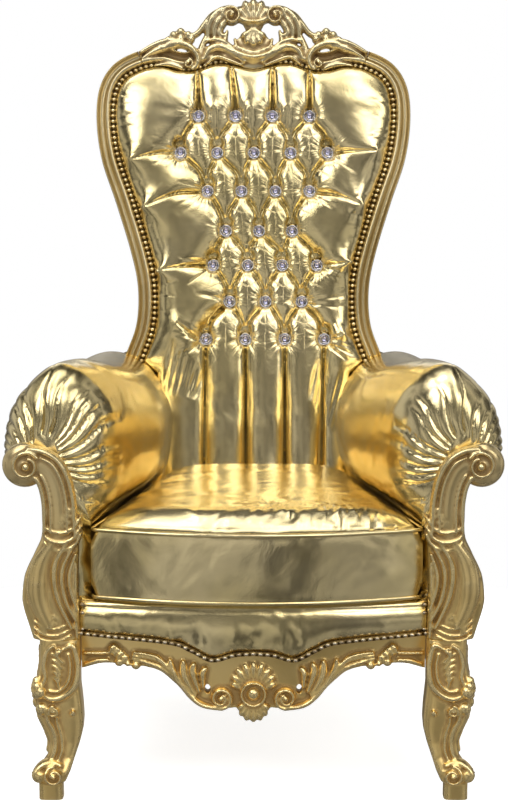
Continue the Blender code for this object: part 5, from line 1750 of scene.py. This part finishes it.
def make_rear():
    """Rear legs and rails keep their solids' shapes; the legs are rounded."""
    wide, narrow = REAR_LEG_WIDTHS
    for side, word in ((1, "right"), (-1, "left")):
        bm = bmesh.new()
        rings = []
        for share in np.linspace(0, 1, 40):
            height = LEG_TOP * (1 - share)
            swell = np.interp(share, *zip(*REAR_LEG_SWELL))
            half = (wide + (narrow - wide) * share) / 2 * swell
            x = REAR_LEG_FROM_MIDDLE + REAR_LEG_OUT * share**1.3
            y = back_plane(LEG_TOP) + REAR_LEG_BACK * share**1.6
            rings.append([(side * (x + half * power(math.cos(a), 0.45)), y + half * power(math.sin(a), 0.45), height)
                          for a in turns(28)])
        skin(bm, rings)
        leg = from_bmesh(f"gilt_rear_leg_{word}", bm, FINISH["gilt"])
        mark_cavities(leg, rounds=2)
        rides(leg, "gilt_wood", f"rear_leg_{word}")
    for name in ("side_rail_left", "side_rail_right", "rear_rail"):
        node = bpy.data.objects[name]
        node.material_slots[0].material = FINISH["gilt"]


# Studio.

FLOOR_RADIUS = 1.3
CAMERA_PLACE = (0.0011, -4.0, 1.28)
CAMERA_TILT = 8.95
CAMERA_LENS = 97

# Name, place, height that it is aimed at, size and strength of each lamp.
LAMPS = (
    ("key", (-2.0, -2.6, 3.3), 0.7, (1.8, 1.8), 34), ("fill", (2.6, -2.2, 2.6), 0.7, (1.2, 1.8), 16),
    ("top", (0.1, -0.4, 3.7), 0.5, (2.6, 1.8), 18), ("back", (0.0, 3.6, 2.4), 0.8, (3.0, 2.0), 18),
)

# Brightness of the surroundings from the floor up, and of the patches that darken them.
SKY = (
    (0.00, 0.22), (0.30, 0.32), (0.44, 0.50), (0.54, 0.34), (0.60, 0.08), (0.67, 0.12), (0.75, 0.38), (0.82, 2.00),
    (1.00, 3.00),
)
CLUTTER = ((0.0, 0.16), (0.43, 0.20), (0.49, 0.90), (0.56, 1.40), (1.0, 1.40))


def make_surroundings(scene):
    """White to the camera; for light and reflections a bright ceiling over a darker, uneven room and floor."""
    world = bpy.data.worlds.new("studio")
    scene.world = world
    world.use_nodes = True
    nodes = Nodes(world.node_tree)
    plain = nodes.tree.nodes["Background"]
    plain.inputs["Color"].default_value = (1.0, 1.0, 1.0, 1.0)
    plain.inputs["Strength"].default_value = 1.0

    def ramp_of(bands, tint, share):
        made = nodes.node("ValToRGB", Fac=share)
        elements = made.color_ramp.elements
        while len(elements) < len(bands):
            elements.new(0.5)
        for element, (at, _) in zip(elements, bands):
            element.position = at
        for element, (_, shade) in zip(elements, bands):
            element.color = (shade * tint[0], shade * tint[1], shade * tint[2], 1.0)
        return made.outputs["Color"]

    place = nodes.node("TexCoord").outputs["Generated"]
    parts = nodes.node("SeparateXYZ", _0=place)
    low_down = nodes.node("Mapping", Vector=place, Scale=(1.0, 1.0, 0.35)).outputs["Vector"]
    height = Sum(nodes, parts.outputs["Z"]) * 0.5 + Sum(nodes, parts.outputs["Y"]) * -0.15
    sky = ramp_of(SKY, (1.0, 0.995, 0.985), height + nodes.noise(1.7, 1.0, 0.5, vector=place) * 0.68)
    clutter = ramp_of(CLUTTER, (1.0, 1.0, 1.0), nodes.noise(3.4, 2.0, 0.5, vector=low_down))
    both = nodes.node("VectorMath", {"operation": "MULTIPLY"}, _0=sky, _1=clutter)
    room = nodes.node("Background", Strength=1.0, Color=both.outputs[0])
    either = nodes.node("MixShader", Fac=nodes.node("LightPath").outputs["Is Camera Ray"], _1=room.outputs[0],
                        _2=plain.outputs[0])
    nodes.put(either.outputs[0], nodes.tree.nodes["World Output"].inputs["Surface"])


def make_studio():
    scene = bpy.context.scene
    mesh = bpy.data.meshes.new("floor")
    ring = [(FLOOR_RADIUS * math.cos(a), FLOOR_RADIUS * math.sin(a), 0) for a in turns(96)]
    mesh.from_pydata(ring, [], [tuple(range(96))])
    floor = object_of("floor", mesh, FINISH["floor"])
    floor.visible_glossy = False

    for name, place, height, size, strength in LAMPS:
        lamp = bpy.data.lights.new(name, "AREA")
        lamp.shape = "RECTANGLE"
        lamp.size, lamp.size_y = size
        lamp.energy = strength
        holder = bpy.data.objects.new(name, lamp)
        holder.location = place
        holder.rotation_euler = (Vector((0, 0, height)) - Vector(place)).to_track_quat("-Z", "Y").to_euler()
        scene.collection.objects.link(holder)
    make_surroundings(scene)
    scene.view_settings.view_transform = "Standard"

    camera = bpy.data.objects.new("camera", bpy.data.cameras.new("camera"))
    camera.location = CAMERA_PLACE
    camera.rotation_euler = (math.radians(90 - CAMERA_TILT), 0, 0)
    camera.data.sensor_fit = "VERTICAL"
    camera.data.sensor_height = 36
    camera.data.lens = CAMERA_LENS
    scene.collection.objects.link(camera)
    scene.camera = camera


make_studio()
make_stiles()
make_crest()
make_apron()
make_posts()
make_front_legs()
make_rear()
make_back_pad()
make_bead_shadow_band()
make_arms()
make_deck()
make_cushion()
make_piping()
make_outer_back()
make_nailheads()
make_crystals()
